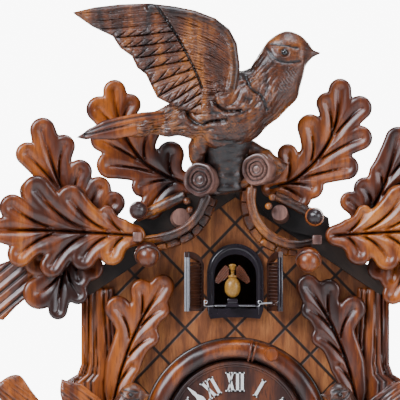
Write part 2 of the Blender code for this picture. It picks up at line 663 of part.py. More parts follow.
def make_chains(make):
    strands = (
        ("time", GREAT[0], 1, TIME_CHAIN_Y), ("strike", STRIKE_GREAT[0], -1, STRIKE_CHAIN_Y),
    )
    for word, x, side, y in strands:
        out, back = x + side * CHAIN_REACH, x - side * CHAIN_REACH
        top = GREAT[1]
        make.add(
            f"{word}_weight_chain", rod(CHAIN_R, (out, y, WEIGHT_TOP + 4.3), (out, y, top), 8), "brass"
        )
        weight = [(0, 0.0), (6, 0.0), (WEIGHT_R * 0.75, -12), (WEIGHT_R, -40), (WEIGHT_R * 0.92, -90), (WEIGHT_R * 0.55, -130), (4, -WEIGHT_LONG), (0, -WEIGHT_LONG)]
        cone = make.add(f"{word}_weight", turned([(r, z) for r, z in weight], 20, (out, y, WEIGHT_TOP)), "cast_weight")
        make.join(cone, rod(1.4, (out, y, WEIGHT_TOP - 3), (out, y, WEIGHT_TOP + 4.0), 8))
        loose = make.add(f"{word}_ring_chain", rod(CHAIN_R, (back, y, -232), (back, y, top), 8), "brass")
        make.join(loose, ring_at(back, y, -239.5))


def ring_at(x, y, z):
    """The pull ring at a chain's end, standing upright across the clock."""
    wire = [(6.5 + 1.2 * math.cos(a), 1.2 * math.sin(a)) for a in (math.tau * i / 6 for i in range(6))]
    return turned(wire, 20, (x, y, z), "-Y")


# --- the carving -----------------------------------------------------------
def bird_sections():
    """The crown bird in side view, beak to tail: (upper x, z), (lower x, z), half depth."""
    return [
        ((66.4, 295.9), (66.4, 295.1), 0.4), ((60.5, 298.6), (59.7, 291.6), 3.0), ((55.0, 303.3), (55.0, 285.3), 6.5),
        ((47.9, 309.6), (52.6, 278.2), 10.5), ((38.5, 311.2), (50.3, 268.8), 13.0), ((27.5, 303.3), (47.9, 259.4), 15.0),
        ((17.3, 289.2), (37.7, 249.1), 19.0), ((7.9, 283.0), (25.9, 237.4), 23.0), ((-2.4, 281.4), (13.4, 226.4), 25.0),
        ((-15.7, 279.0), (-2.4, 220.0), 24.0), ((-29.1, 273.5), (-18.1, 221.7), 20.0), ((-43.2, 263.3), (-33.8, 227.9), 14.0),
        ((-55.0, 253.0), (-49.5, 230.3), 10.0), ((-66.8, 248.4), (-62.9, 231.1), 8.5), ((-82.5, 245.2), (-80.2, 229.5), 7.0),
        ((-102.2, 239.7), (-100.6, 228.7), 5.0), ((-117.9, 233.4), (-115.5, 228.0), 3.0), ((-124.2, 229.9), (-124.2, 229.1), 0.4),
    ]


SMALL_BIRD = 0.55
SMALL_NEAR_WING = [
    (-136, 41), (-130, 39), (-121, 37), (-113, 31), (-104, 24), (-96, 14), (-90, 4), (-92, -8), (-104, -14),
    (-116, -6), (-126, 6), (-133, 18), (-137, 30),
]
SMALL_FAR_WING = [
    (-185, 38), (-178, 42.5), (-172, 44), (-167, 42), (-160, 32), (-152, 22), (-140, 8), (-128, -4), (-138, -18),
    (-150, -14), (-165, 2), (-178, 18), (-188, 30),
]
WING_OUTLINE = [
    (1.6, 262.0), (3.5, 285.0), (1.2, 303.0), (-4.7, 314.0), (-15.7, 322.5), (-31.4, 328.5), (-47.2, 331.7),
    (-66.8, 334.1), (-90.4, 333.3), (-110.0, 331.0), (-127.0, 327.0), (-118.0, 318.0), (-96.0, 308.9), (-90.4, 301.0),
    (-81.0, 293.2), (-77.0, 284.5), (-70.0, 279.0), (-65.2, 268.8), (-61.3, 261.0), (-44.0, 252.0), (-22.0, 246.0),
]
BIRD_Y = -172.0
BIRD_MIDDLE = (-2.0, 255.0)  # the point that a smaller bird is scaled and turned about


def bird_body(place, scale=1.0, mirror=1.0, sides=16):
    """The lofted body of a bird whose middle stands at `place`."""
    sections = []
    for (ux, uz), (lx, lz), depth in bird_sections():
        upper = Vector(((ux - BIRD_MIDDLE[0]) * mirror, 0, uz - BIRD_MIDDLE[1])) * scale
        lower = Vector(((lx - BIRD_MIDDLE[0]) * mirror, 0, lz - BIRD_MIDDLE[1])) * scale
        sections.append(((upper + lower) / 2 + Vector(place), (upper - lower) / 2, depth * scale))
    return loft(sections, sides)


def bird_wing(y0, y1):
    """A raised wing of the crown bird; y0 and y1 count from the bird's middle."""
    return prism(WING_OUTLINE, BIRD_Y + y0, BIRD_Y + y1)


def make_small_bird(make, name, mirror):
    place = (-104 * mirror, -159.2, 6)
    bird = make.add(name, bird_body(place, SMALL_BIRD, mirror, 12), "carved_wood")
    make.join(
        bird,
        prism([(x * mirror, z) for x, z in SMALL_NEAR_WING], place[1] - 9.0, place[1] - 15.0),
        prism([(x * mirror, z) for x, z in SMALL_FAR_WING], place[1] + 7.0, place[1] + 2.0),
    )


def make_crown(make):
    place = (BIRD_MIDDLE[0], BIRD_Y, BIRD_MIDDLE[1])
    bird = make.add("crown_bird", bird_body(place), "carved_wood")
    make.join(bird, bird_wing(14.0, 19.0))
    for x, y in ((-26, BIRD_Y - 6), (-8, BIRD_Y + 6)):
        make.join(bird, rod(3.2, (x + 6, y, 232), (x, y, 209.5), 10, 4.0))
    make.add("bird_near_wing", bird_wing(-25.5, -33.0), "carved_wood", smooth=False)
    branch = make.add("crown_branch", rod(11.0, (-34, -161, 188), (24, -161, 199), 12), "carved_wood")
    for side, knot in ((-1, (-28, 196)), (1, (16, 204))):
        make.join(
            branch,
            rod(13.0, (knot[0], -150, knot[1]), (knot[0], -174, knot[1]), 16),
            rod(9.0, (knot[0], -160, knot[1] - 8), (side * 36, -157, 166), 12),
            rod(6.0, (side * 35, -157, 168), (side * 56, -156, 152), 10),
            rod(6.0, (side * 54, -156, 153), (side * 69, -156, 151), 10),
        )


def make_leaves(make):
    for word, mirror in (("left", 1.0), ("right", -1.0)):
        back = make.add(f"{word}_leaves", leaf_prism(UPPER_LEAF, mirror), "carved_wood", smooth=False)
        for leaf in (OUTER_LEAF, LOWER_LEAF):
            make.join(back, leaf_prism(leaf, mirror))
        blade = [(x * mirror, z) for x, z in END_BLADE]
        make.join(back, prism(blade, CARVING_BACK, CARVING_BACK - LEAF_THICK))
        for start, end in (((-39, 196), (-88, 170)), ((-86, 174), (-76, 134)), ((-78, 142), (-124, 142))):
            middle = CARVING_BACK - LEAF_THICK / 2
            ends = [(x * mirror, middle, z) for x, z in (start, end)]
            make.join(back, rod(LEAF_THICK / 2 - 0.2, *ends, 10))
        make.add(f"{word}_front_leaf", leaf_prism(FRONT_LEAF, mirror, 14.0), "carved_wood", smooth=False)


def make_bottom(make):
    front = PANEL_FRONT - GAP
    carving = make.add(
        "bottom_carving",
        prism([(-76, -76), (76, -76), (84, -103), (60, -122), (0, -132), (-60, -122), (-84, -103)], front, front - 8),
        "carved_wood", smooth=False,
    )
    hanging = (((0.0, -86.0), (0.0, -176.0), 0.0, 0.38, front - 6),
               ((-14.0, -92.0), (-84.0, -158.0), 0.08, 0.36, front - 4),
               ((14.0, -92.0), (84.0, -158.0), -0.08, 0.36, front - 4))
    for leaf in hanging:
        make.join(carving, leaf_prism(leaf, 1.0, 9.0))
    make_small_bird(make, "left_bird", 1.0)
    make_small_bird(make, "right_bird", -1.0)


def clear_scene():
    for obj in list(bpy.data.objects):
        bpy.data.objects.remove(obj, do_unlink=True)


def main():
    clear_scene()
    make = Maker(make_materials())
    make_case(make)
    make_front(make)
    make_dial(make)
    make_hands(make)
    make_window(make)
    make_cuckoo(make)
    make_plates(make)
    make_time_train(make)
    make_strike_train(make)
    make_verge(make)
    make_pendulum(make)
    make_sound(make)
    make_bellows(make)
    make_chains(make)
    make_crown(make)
    make_leaves(make)
    make_bottom(make)


main()
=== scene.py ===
"""Looks for a carved wall cuckoo clock: oak leaves, birds, branch, dial, window, weights and chains.

The clock's solids come from the frame. This script gives them their finishes and puts carved pieces in the
place of the plain ones. Shapes are written in millimetres about the dial's centre, x to the right, z up and
the wall at y = 0, and `to_frame` turns them into the frame's metres.
"""

import logging
import math
from collections.abc import Callable, Sequence
from dataclasses import dataclass
from enum import Enum

import bmesh
import bpy
import numpy as np
from mathutils import Matrix, Vector, noise

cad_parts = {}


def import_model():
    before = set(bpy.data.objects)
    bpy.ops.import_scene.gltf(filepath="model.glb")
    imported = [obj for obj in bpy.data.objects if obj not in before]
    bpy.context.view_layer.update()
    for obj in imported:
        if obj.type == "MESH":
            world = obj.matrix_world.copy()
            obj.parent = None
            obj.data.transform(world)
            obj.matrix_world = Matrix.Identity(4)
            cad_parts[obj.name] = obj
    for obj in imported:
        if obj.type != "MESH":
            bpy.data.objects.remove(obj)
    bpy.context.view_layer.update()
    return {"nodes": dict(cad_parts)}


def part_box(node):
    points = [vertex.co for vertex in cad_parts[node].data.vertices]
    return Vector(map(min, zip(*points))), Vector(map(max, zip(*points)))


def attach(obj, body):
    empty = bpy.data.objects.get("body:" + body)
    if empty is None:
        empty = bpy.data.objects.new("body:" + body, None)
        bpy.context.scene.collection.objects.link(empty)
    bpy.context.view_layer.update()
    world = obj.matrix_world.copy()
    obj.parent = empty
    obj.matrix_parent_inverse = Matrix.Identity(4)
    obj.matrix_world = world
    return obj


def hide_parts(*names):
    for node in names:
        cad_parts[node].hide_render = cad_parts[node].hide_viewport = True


log = logging.getLogger("cuckoo_clock")

MM = 0.001
SENSOR_WIDE = 36.0
ROOF_SLOPE = 34
DIAL_DROP = 150.0
Point = tuple[float, float]
Array = np.ndarray


def to_frame(x: float, y: float, z: float) -> Vector:
    """The frame's metres for a place in millimetres about the dial's centre."""
    return Vector((x, y, z - DIAL_DROP)) * MM


# --------------------------------------------------------------------------- finishes


class Grain(Enum):
    """The way a board's grain runs, as the turn of its pattern about each axis in degrees."""

    UPRIGHT = (0.0, 0.0, 0.0)
    RISING = (0.0, 38.0, 0.0)


def new_group(name: str, inputs: dict[str, float], outputs: dict[str, str]) -> bpy.types.NodeTree:
    """An empty shader node group with its sockets.

    Args:
        name: the group's name.
        inputs: each number that goes in, with its default.
        outputs: each value that comes out, with its socket type.

    Returns:
        The node tree, holding a group input and a group output.
    """
    group = bpy.data.node_groups.new(name, "ShaderNodeTree")
    for label, value in inputs.items():
        socket = group.interface.new_socket(name=label, in_out="INPUT", socket_type="NodeSocketFloat")
        socket.default_value = value
    for label, kind in outputs.items():
        group.interface.new_socket(name=label, in_out="OUTPUT", socket_type=kind)
    group.nodes.new("NodeGroupInput")
    group.nodes.new("NodeGroupOutput")
    return group


class NodeBench:
    """Short ways to add and join nodes in one tree."""

    def __init__(self, tree: bpy.types.NodeTree) -> None:
        """Works on `tree`."""
        self.tree = tree

    def add(self, kind: str, **settings: object) -> bpy.types.Node:
        """A new node of that kind with its settings."""
        node = self.tree.nodes.new(kind)
        for name, value in settings.items():
            setattr(node, name, value)
        return node

    def link(self, source: bpy.types.NodeSocket, target: bpy.types.NodeSocket) -> None:
        """Joins two sockets."""
        self.tree.links.new(source, target)

    def math(self, operation: str, *values: object, clamp: bool = False) -> bpy.types.NodeSocket:
        """A math node.

        Args:
            operation: the math node's operation.
            *values: numbers or sockets, in the order of its inputs.
            clamp: whether the result stays between 0 and 1.

        Returns:
            Its output socket.
        """
        node = self.add("ShaderNodeMath", operation=operation, use_clamp=clamp)
        for slot, value in zip(node.inputs, values):
            if isinstance(value, (int, float)):
                slot.default_value = value
            else:
                self.link(value, slot)
        return node.outputs[0]

    def mix(self, factor: object, first: object, second: object, blend: str = "MIX") -> bpy.types.NodeSocket:
        """A colour mix.

        Args:
            factor: how much of the second, a number or a socket.
            first: a colour or a socket.
            second: a colour or a socket.
            blend: the mix node's blend type.

        Returns:
            Its colour socket.
        """
        node = self.add("ShaderNodeMix", data_type="RGBA", blend_type=blend)
        for slot, value in ((node.inputs[0], factor), (node.inputs[6], first), (node.inputs[7], second)):
            if isinstance(value, bpy.types.NodeSocket):
                self.link(value, slot)
            elif isinstance(value, (int, float)):
                slot.default_value = value
            else:
                slot.default_value = (*value, 1.0)
        return node.outputs[2]


class Effects:
    """The shader node groups that several finishes share, each built once."""

    def __init__(self) -> None:
        """Builds the groups."""
        self.grain = self._grain()
        self.marks = self._marks()

    def _grain(self) -> bpy.types.NodeTree:
        """Wood grain: slow figure, fine pores, and a height for the bump."""
        group = new_group(
            "wood_grain",
            {"Turn": 0.0, "Figure Scale": 1.0, "Pore Scale": 1.0},
            {"Figure": "NodeSocketFloat", "Pores": "NodeSocketFloat", "Height": "NodeSocketFloat"},
        )
        bench = NodeBench(group)
        taken, given = group.nodes["Group Input"], group.nodes["Group Output"]
        place = bench.add("ShaderNodeTexCoord")
        turn = bench.add("ShaderNodeCombineXYZ")
        bench.link(taken.outputs["Turn"], turn.inputs["Y"])
        turned = bench.add("ShaderNodeMapping")
        bench.link(place.outputs["Object"], turned.inputs["Vector"])
        bench.link(turn.outputs[0], turned.inputs["Rotation"])
        results = []
        for label, size, stretch, detail in (
            ("Figure", "Figure Scale", (26.0, 26.0, 5.0), 5.0),
            ("Pores", "Pore Scale", (520.0, 520.0, 60.0), 3.0),
        ):
            squeezed = bench.add("ShaderNodeMapping")
            squeezed.inputs["Scale"].default_value = stretch
            bench.link(turned.outputs[0], squeezed.inputs["Vector"])
            cloud = bench.add("ShaderNodeTexNoise")
            cloud.inputs["Detail"].default_value = detail
            cloud.inputs["Roughness"].default_value = 0.62
            cloud.inputs["Distortion"].default_value = 0.35
            bench.link(squeezed.outputs[0], cloud.inputs["Vector"])
            bench.link(taken.outputs[size], cloud.inputs["Scale"])
            bench.link(cloud.outputs["Fac"], given.inputs[label])
            results.append(cloud.outputs["Fac"])
        height = bench.math("MULTIPLY_ADD", results[0], 0.4, bench.math("MULTIPLY", results[1], 0.6))
        bench.link(height, given.inputs["Height"])
        return group

    def _marks(self) -> bpy.types.NodeTree:
        """Tool marks: short gouge cuts that a carver leaves, and a mask of where they are deep, which darkens them with
        staining and painted shade.
        """
        group = new_group(
            "tool_marks", {"Scale": 1.0}, {"Mask": "NodeSocketFloat", "Height": "NodeSocketFloat"}
        )
        bench = NodeBench(group)
        taken, given = group.nodes["Group Input"], group.nodes["Group Output"]
        place = bench.add("ShaderNodeTexCoord")
        squeezed = bench.add("ShaderNodeMapping")
        squeezed.inputs["Rotation"].default_value = (0.0, math.radians(-24), 0.0)
        squeezed.inputs["Scale"].default_value = (150.0, 300.0, 520.0)
        bench.link(place.outputs["Object"], squeezed.inputs["Vector"])
        cloud = bench.add("ShaderNodeTexNoise")
        cloud.inputs["Detail"].default_value = 2.0
        cloud.inputs["Roughness"].default_value = 0.5
        cloud.inputs["Distortion"].default_value = 0.8
        bench.link(squeezed.outputs[0], cloud.inputs["Vector"])
        bench.link(taken.outputs["Scale"], cloud.inputs["Scale"])
        ridge = bench.math("ABSOLUTE", bench.math("SUBTRACT", cloud.outputs["Fac"], 0.5))
        height = bench.math("MULTIPLY", ridge, 7.0, clamp=True)
        bench.link(height, given.inputs["Height"])
        bench.link(bench.math("SUBTRACT", 1.0, height), given.inputs["Mask"])
        return group


@dataclass(frozen=True)
class WoodFinish:
    """Stained and lacquered wood; the darkening of its cuts, hollows and edges is partly staining, partly painted
    shade.
    """

    name: str
    slot: str
    dark: tuple[float, float, float]
    middle: tuple[float, float, float]
    light: tuple[float, float, float]
    # The dark colour mixed in by the per-vertex mask: staining pooled in the cuts, and painted shade.
    stain_and_shade: tuple[float, float, float]
    grain: Grain = Grain.UPRIGHT
    roughness: float = 0.38
    coat: float = 0.55
    coat_roughness: float = 0.27
    bump: float = 0.12
    figure_scale: float = 1.0
    pore_depth: float = 0.35
    marks: float = 0.0
    lattice: bool = False

    def make(self, effects: Effects) -> bpy.types.Material:
        """The material, built from the shared groups."""
        made = bpy.data.materials.new(self.name)
        made.use_nodes = True
        bench = NodeBench(made.node_tree)
        shader = made.node_tree.nodes["Principled BSDF"]
        grain = bench.add("ShaderNodeGroup", node_tree=effects.grain)
        grain.inputs["Turn"].default_value = math.radians(self.grain.value[1])
        grain.inputs["Figure Scale"].default_value = self.figure_scale
        ramp = bench.add("ShaderNodeValToRGB")
        ramp.color_ramp.elements[0].position = 0.38
        ramp.color_ramp.elements[0].color = (*self.dark, 1.0)
        ramp.color_ramp.elements[1].position = 0.64
        ramp.color_ramp.elements[1].color = (*self.light, 1.0)
        ramp.color_ramp.elements.new(0.50).color = (*self.middle, 1.0)
        bench.link(grain.outputs["Figure"], ramp.inputs["Fac"])
        pores = bench.math(
            "MULTIPLY", bench.math("GREATER_THAN", grain.outputs["Pores"], 0.56), self.pore_depth
        )
        colour = bench.mix(pores, ramp.outputs["Color"], self.dark)
        stain_and_shade_mask = bench.add("ShaderNodeAttribute", attribute_name="stain_and_shade_mask")
        shade = stain_and_shade_mask.outputs["Fac"]
        height = bench.math("MULTIPLY", grain.outputs["Height"], 0.5)
        if self.marks:
            marks = bench.add("ShaderNodeGroup", node_tree=effects.marks)
            height = bench.math("MULTIPLY_ADD", marks.outputs["Height"], self.marks, height)
            shade = bench.math("MULTIPLY_ADD", marks.outputs["Mask"], 0.55 * self.marks, shade, clamp=True)
        if self.lattice:
            cut = self._lattice(bench)
            height = bench.math("MULTIPLY_ADD", cut, -1.0, height)
            # The lattice's saw cuts exist only in the shader, as a dent in the bump and this darkening: partly
            # staining, partly painted shade.
            shade = bench.math("MAXIMUM", cut, shade)
        # Cuts, hollows and edges darkened by the per-vertex mask: partly staining, partly painted shade.
        colour = bench.mix(bench.math("MULTIPLY", shade, 0.97), colour, self.stain_and_shade)
        bench.link(colour, shader.inputs["Base Color"])
        bench.link(
            bench.math("MULTIPLY_ADD", grain.outputs["Figure"], 0.16, self.roughness - 0.08),
            shader.inputs["Roughness"]
        )
        bump = bench.add("ShaderNodeBump")
        bump.inputs["Strength"].default_value = self.bump
        bump.inputs["Distance"].default_value = 0.001
        bench.link(height, bump.inputs["Height"])
        bench.link(bump.outputs[0], shader.inputs["Normal"])
        shader.inputs["Coat Weight"].default_value = self.coat
        shader.inputs["Coat Roughness"].default_value = self.coat_roughness
        return made

    def _lattice(self, bench: NodeBench) -> bpy.types.NodeSocket:
        """Crossing saw cuts on the front board, 1 in a cut and 0 between."""
        place = bench.add("ShaderNodeTexCoord")
        split = bench.add("ShaderNodeSeparateXYZ")
        bench.link(place.outputs["Object"], split.inputs[0])
        across = bench.math("DIVIDE", split.outputs["X"], 2 * Lattice.HALF_WIDE * MM)
        up = bench.math(
            "DIVIDE", bench.math("SUBTRACT", split.outputs["Z"], (Lattice.CROSSING - DIAL_DROP) * MM),
            2 * Lattice.HALF_HIGH * MM
        )
        cuts = []
        for operation in ("ADD", "SUBTRACT"):
            wave = bench.math("FRACT", bench.math("ADD", bench.math(operation, across, up), 0.5))
            off = bench.math("ABSOLUTE", bench.math("SUBTRACT", wave, 0.5))
            cuts.append(bench.math("SUBTRACT", 1.0, bench.math("DIVIDE", off, Lattice.CUT_SHARE), clamp=True))
        both = bench.math("MAXIMUM", *cuts)
        return bench.math("MULTIPLY", both, 2.2, clamp=True)


class Lattice:
    """Where the front board's cuts cross, in millimetres."""

    HALF_WIDE = 19.7
    HALF_HIGH = 20.6
    CROSSING = 162.5
    CUT_SHARE = 0.050


@dataclass(frozen=True)
class PlainFinish:
    """Metal, paint, cloth or horn, with a little unevenness."""

    name: str
    slot: str
    colour: tuple[float, float, float]
    shade: tuple[float, float, float]
    roughness: float
    metallic: float = 0.0
    coat: float = 0.0
    bump: float = 0.1
    scale: float = 260.0

    def make(self, effects: Effects) -> bpy.types.Material:
        """The material; `effects` is taken so that every finish is made alike."""
        made = bpy.data.materials.new(self.name)
        made.use_nodes = True
        bench = NodeBench(made.node_tree)
        shader = made.node_tree.nodes["Principled BSDF"]
        place = bench.add("ShaderNodeTexCoord")
        cloud = bench.add("ShaderNodeTexNoise")
        cloud.inputs["Scale"].default_value = self.scale
        cloud.inputs["Detail"].default_value = 4.0
        bench.link(place.outputs["Object"], cloud.inputs["Vector"])
        stain_and_shade_mask = bench.add("ShaderNodeAttribute", attribute_name="stain_and_shade_mask")
        # The per-vertex mask pulls the colour towards the darker one in hollows as painted shade, beside the random
        # unevenness.
        tint = bench.math(
            "MAXIMUM", bench.math("MULTIPLY_ADD", cloud.outputs["Fac"], 1.6, -0.55, clamp=True),
            stain_and_shade_mask.outputs["Fac"]
        )
        bench.link(bench.mix(tint, self.colour, self.shade), shader.inputs["Base Color"])
        bench.link(
            bench.math("MULTIPLY_ADD", cloud.outputs["Fac"], 0.18, self.roughness - 0.09),
            shader.inputs["Roughness"]
        )
        bump = bench.add("ShaderNodeBump")
        bump.inputs["Strength"].default_value = self.bump
        bump.inputs["Distance"].default_value = 0.0005
        bench.link(cloud.outputs["Fac"], bump.inputs["Height"])
        bench.link(bump.outputs[0], shader.inputs["Normal"])
        shader.inputs["Metallic"].default_value = self.metallic
        shader.inputs["Coat Weight"].default_value = self.coat
        return made


WALNUT = dict(
    dark=(0.026, 0.005, 0.002), middle=(0.120, 0.021, 0.003), light=(0.44, 0.105, 0.007),
    stain_and_shade=(0.003, 0.001, 0.001)
)

CARVED = WoodFinish("carved_walnut", "carved_wood", **WALNUT, figure_scale=1.3)
KNOT = WoodFinish(
    "cut_knot", "carved_wood", (0.070, 0.028, 0.022), (0.20, 0.095, 0.072), (0.36, 0.18, 0.135),
    (0.005, 0.002, 0.002), figure_scale=1.6,
)
# A brighter walnut: the front acorn nuts' own colour, and on the two front leaves painted light, a lit copy of the
# carved walnut.
WARM = WoodFinish(
    "warm_walnut", "carved_wood", (0.050, 0.010, 0.003), (0.22, 0.045, 0.005), (0.58, 0.17, 0.015),
    (0.003, 0.001, 0.001), figure_scale=1.3,
)
FEATHERED = WoodFinish(
    "feathered_walnut", "carved_wood", (0.030, 0.007, 0.002), (0.15, 0.033, 0.004), (0.46, 0.135, 0.010),
    (0.003, 0.001, 0.001), figure_scale=1.8, marks=0.8, bump=0.3,
)
POST = WoodFinish("post_walnut", "carved_wood", **WALNUT)
LATTICE_BOARD = WoodFinish(
    "lattice_board", "carved_wood", (0.17, 0.050, 0.015), (0.32, 0.100, 0.027), (0.46, 0.165, 0.046),
    (0.010, 0.004, 0.002), grain=Grain.UPRIGHT, roughness=0.46, coat=0.2, coat_roughness=0.35, pore_depth=0.5,
    figure_scale=5.0, lattice=True, bump=0.3,
)
ROOF = WoodFinish(
    "dark_roof", "carved_wood", (0.010, 0.006, 0.005), (0.022, 0.012, 0.008), (0.045, 0.022, 0.012),
    (0.004, 0.003, 0.003), grain=Grain.RISING, roughness=0.42, coat=0.35, coat_roughness=0.3,
)
CASE = WoodFinish(
    "case_walnut", "case_wood", (0.07, 0.026, 0.010), (0.14, 0.052, 0.020), (0.22, 0.085, 0.032),
    (0.010, 0.005, 0.004), roughness=0.45, coat=0.3, coat_roughness=0.3, pore_depth=0.5,
)
DOOR_WOOD = WoodFinish(
    "door_wood", "case_wood", (0.014, 0.004, 0.002), (0.034, 0.009, 0.004), (0.075, 0.022, 0.008),
    (0.006, 0.004, 0.004), roughness=0.35, coat=0.5, coat_roughness=0.2,
)
DIAL_WOOD = WoodFinish(
    "dial_wood", "dial_wood", (0.030, 0.010, 0.008), (0.060, 0.020, 0.013), (0.17, 0.045, 0.014),
    (0.006, 0.003, 0.003), roughness=0.42, coat=0.3, coat_roughness=0.3, figure_scale=1.8, pore_depth=0.6,
)
PALE_WOOD = WoodFinish(
    "pale_wood", "pale_wood", (0.42, 0.27, 0.14), (0.55, 0.38, 0.21), (0.66, 0.48, 0.29), (0.25, 0.15, 0.08),
    roughness=0.6, coat=0.0, pore_depth=0.25,
)
TRIM = PlainFinish(
    "black_violet_trim", "dark_trim", (0.019, 0.012, 0.018), (0.008, 0.005, 0.008), 0.30, coat=0.6
)
NUT_DARK = WoodFinish(
    "dark_nut", "carved_wood", (0.010, 0.006, 0.007), (0.028, 0.014, 0.014), (0.060, 0.028, 0.024), (0.004, 0.002, 0.002),
    roughness=0.36, coat=0.5, coat_roughness=0.22,
)
WHITE = PlainFinish("white_hands", "hand_white", (0.86, 0.86, 0.84), (0.74, 0.73, 0.70), 0.36, bump=0.04)
BRASS = PlainFinish("clock_brass", "brass", (0.80, 0.58, 0.26), (0.55, 0.37, 0.15), 0.34, metallic=1.0)
STEEL = PlainFinish("drawn_steel", "steel", (0.62, 0.62, 0.64), (0.42, 0.42, 0.44), 0.3, metallic=1.0)
GOLD_PAINT = PlainFinish(
    "gold_paint", "cuckoo_gold", (0.42, 0.21, 0.035), (0.16, 0.055, 0.008), 0.40, coat=0.15, scale=600.0
)
BROWN_PAINT = PlainFinish(
    "brown_paint", "cuckoo_brown", (0.17, 0.040, 0.010), (0.035, 0.009, 0.004), 0.42, coat=0.2, scale=700.0
)
BELLOWS = PlainFinish(
    "bellows_cloth", "bellows_paper", (0.62, 0.56, 0.45), (0.42, 0.37, 0.28), 0.85, scale=900.0, bump=0.3
)
CAST = PlainFinish(
    "bronzed_iron", "cast_weight", (0.17, 0.075, 0.035), (0.022, 0.010, 0.007), 0.42, metallic=0.35, coat=0.2
)
# Painted highlight: a pale grey for the left door's free edge, standing for light glancing off it.
PAINTED_HIGHLIGHT_EDGE = PlainFinish(
    "door_edge", "case_wood", (0.30, 0.30, 0.32), (0.12, 0.12, 0.13), 0.4, coat=0.3, scale=700.0
)
EYE = PlainFinish(
    "glass_eye", "dark_trim", (0.006, 0.005, 0.005), (0.003, 0.003, 0.003), 0.14, coat=1.0, bump=0.0
)


class Paints:
    """Makes each finish once and hands it out."""

    def __init__(self) -> None:
        """Builds the shared effects."""
        self.effects = Effects()
        self.made: dict[str, bpy.types.Material] = {}

    def of(self, finish: WoodFinish | PlainFinish) -> bpy.types.Material:
        """The material of a finish."""
        if finish.name not in self.made:
            self.made[finish.name] = finish.make(self.effects)
        return self.made[finish.name]

    def dress(
        self, nodes: Sequence[str], finish: WoodFinish | PlainFinish, shown: dict[str, bpy.types.Object]
    ) -> None:
        """Gives the frame's own solids a finish.

        Args:
            nodes: the solids' names.
            finish: what they are finished in.
            shown: the frame's solids by name.
        """
        for name in nodes:
            solid = shown[name]
            if not solid.material_slots:
                solid.data.materials.append(None)
            for holder in solid.material_slots:
                holder.material = self.of(finish)


# --------------------------------------------------------------------------- shapes


def place_mesh(name: str, bm: bmesh.types.BMesh, smooth: float = 40.0) -> bpy.types.Object:
    """An object from a bmesh in millimetres about the dial's centre.

    Args:
        name: the piece's name.
        bm: its shape, which is freed.
        smooth: the angle in degrees past which an edge stays sharp.

    Returns:
        The object, at the frame's origin.
    """
    bmesh.ops.recalc_face_normals(bm, faces=bm.faces)
    bmesh.ops.translate(bm, vec=(0, 0, -DIAL_DROP), verts=bm.verts)
    bmesh.ops.scale(bm, vec=(MM, MM, MM), verts=bm.verts)
    mesh = bpy.data.meshes.new(name)
    bm.to_mesh(mesh)
    bm.free()
    mesh.shade_smooth()
    mesh.set_sharp_from_angle(angle=math.radians(smooth))
    made = bpy.data.objects.new(name, mesh)
    bpy.context.scene.collection.objects.link(made)
    return made


def smooth_path(points: Sequence[Sequence[float]], count: int) -> Array:
    """Points evenly spaced in parameter along a Catmull-Rom curve through `points`.

    Args:
        points: the curve's own points.
        count: how many to return.

    Returns:
        An array of `count` points.
    """
    given = np.array(points, dtype=float)
    padded = np.vstack([2 * given[0] - given[1], given, 2 * given[-1] - given[-2]])
    places = np.linspace(0, len(given) - 1, count)
    index = np.minimum(places.astype(int), len(given) - 2)
    t = (places - index)[:, None]
    a, b, c, d = (padded[index + k] for k in range(4))
    return 0.5 * (2 * b + (c - a) * t + (2 * a - 5 * b + 4 * c - d) * t**2 + (3 * b - a - 3 * c + d) * t**3)


def path_distance(points: Array, path: Array) -> tuple[Array, Array]:
    """How far each point lies from a path, and how far along it.

    Args:
        points: places, one to a row.
        path: the path's points.

    Returns:
        The distance, and the share of the path from 0 to 1.
    """
    best = np.full(len(points), 1e9)
    along = np.zeros(len(points))
    steps = len(path) - 1
    for k in range(steps):
        start, edge = path[k], path[k + 1] - path[k]
        share = np.clip(((points - start) @ edge) / max(edge @ edge, 1e-9), 0, 1)
        gap = np.hypot(*(points - start - share[:, None] * edge).T)
        closer = gap < best
        best[closer] = gap[closer]
        along[closer] = (k + share[closer]) / steps
    return best, along


def polygon_depth(points: Array, outline: Array) -> Array:
    """How deep each point lies inside a closed outline; negative outside.

    Args:
        points: places, one to a row.
        outline: the outline's points.

    Returns:
        The depth of each point.
    """
    best = np.full(len(points), 1e9)
    inside = np.zeros(len(points), dtype=bool)
    for start, end in zip(outline, np.roll(outline, -1, axis=0)):
        edge = end - start
        share = np.clip(((points - start) @ edge) / max(edge @ edge, 1e-9), 0, 1)
        best = np.minimum(best, np.hypot(*(points - start - share[:, None] * edge).T))
        crosses = (start[1] > points[:, 1]) != (end[1] > points[:, 1])
        rise = edge[1] if abs(edge[1]) > 1e-12 else 1e-12
        inside ^= crosses & (points[:, 0] < start[0] + (points[:, 1] - start[1]) * edge[0] / rise)
    return np.where(inside, best, -best)


def gouges(across: Array, along: Array, wide: float, long: float) -> tuple[Array, Array]:
    """Rows of short hand-cut strokes, each row started at its own place.

    Args:
        across: how far each point lies across the strokes.
        along: how far it lies along them.
        wide: the width of a row.
        long: the length of a stroke.

    Returns:
        The depth of the cut and its darkness, staining and painted shade, each from 0 to 1.
    """
    row = np.floor(across / wide)
    place = across / wide - row
    start = (np.sin(row * 12.9898) * 43758.5453) % 1.0
    step = along / long + start
    cell = np.floor(step)
    share = step - cell
    strength = 0.45 + 0.55 * ((np.sin(row * 78.233 + cell * 37.719) * 24634.6345) % 1.0)
    taper = np.sin(math.pi * share) ** 0.7 * strength
    scoop = (1 - (2 * place - 1) ** 2) * taper
    line = np.exp(-(((place - 0.5) / 0.20) ** 2)) * taper
    return 0.5 * scoop + 0.5 * line, line**1.5


Relief = Callable[[Array, Array], tuple[Array, Array, Array]]
OUTLINE_MARGIN = 1


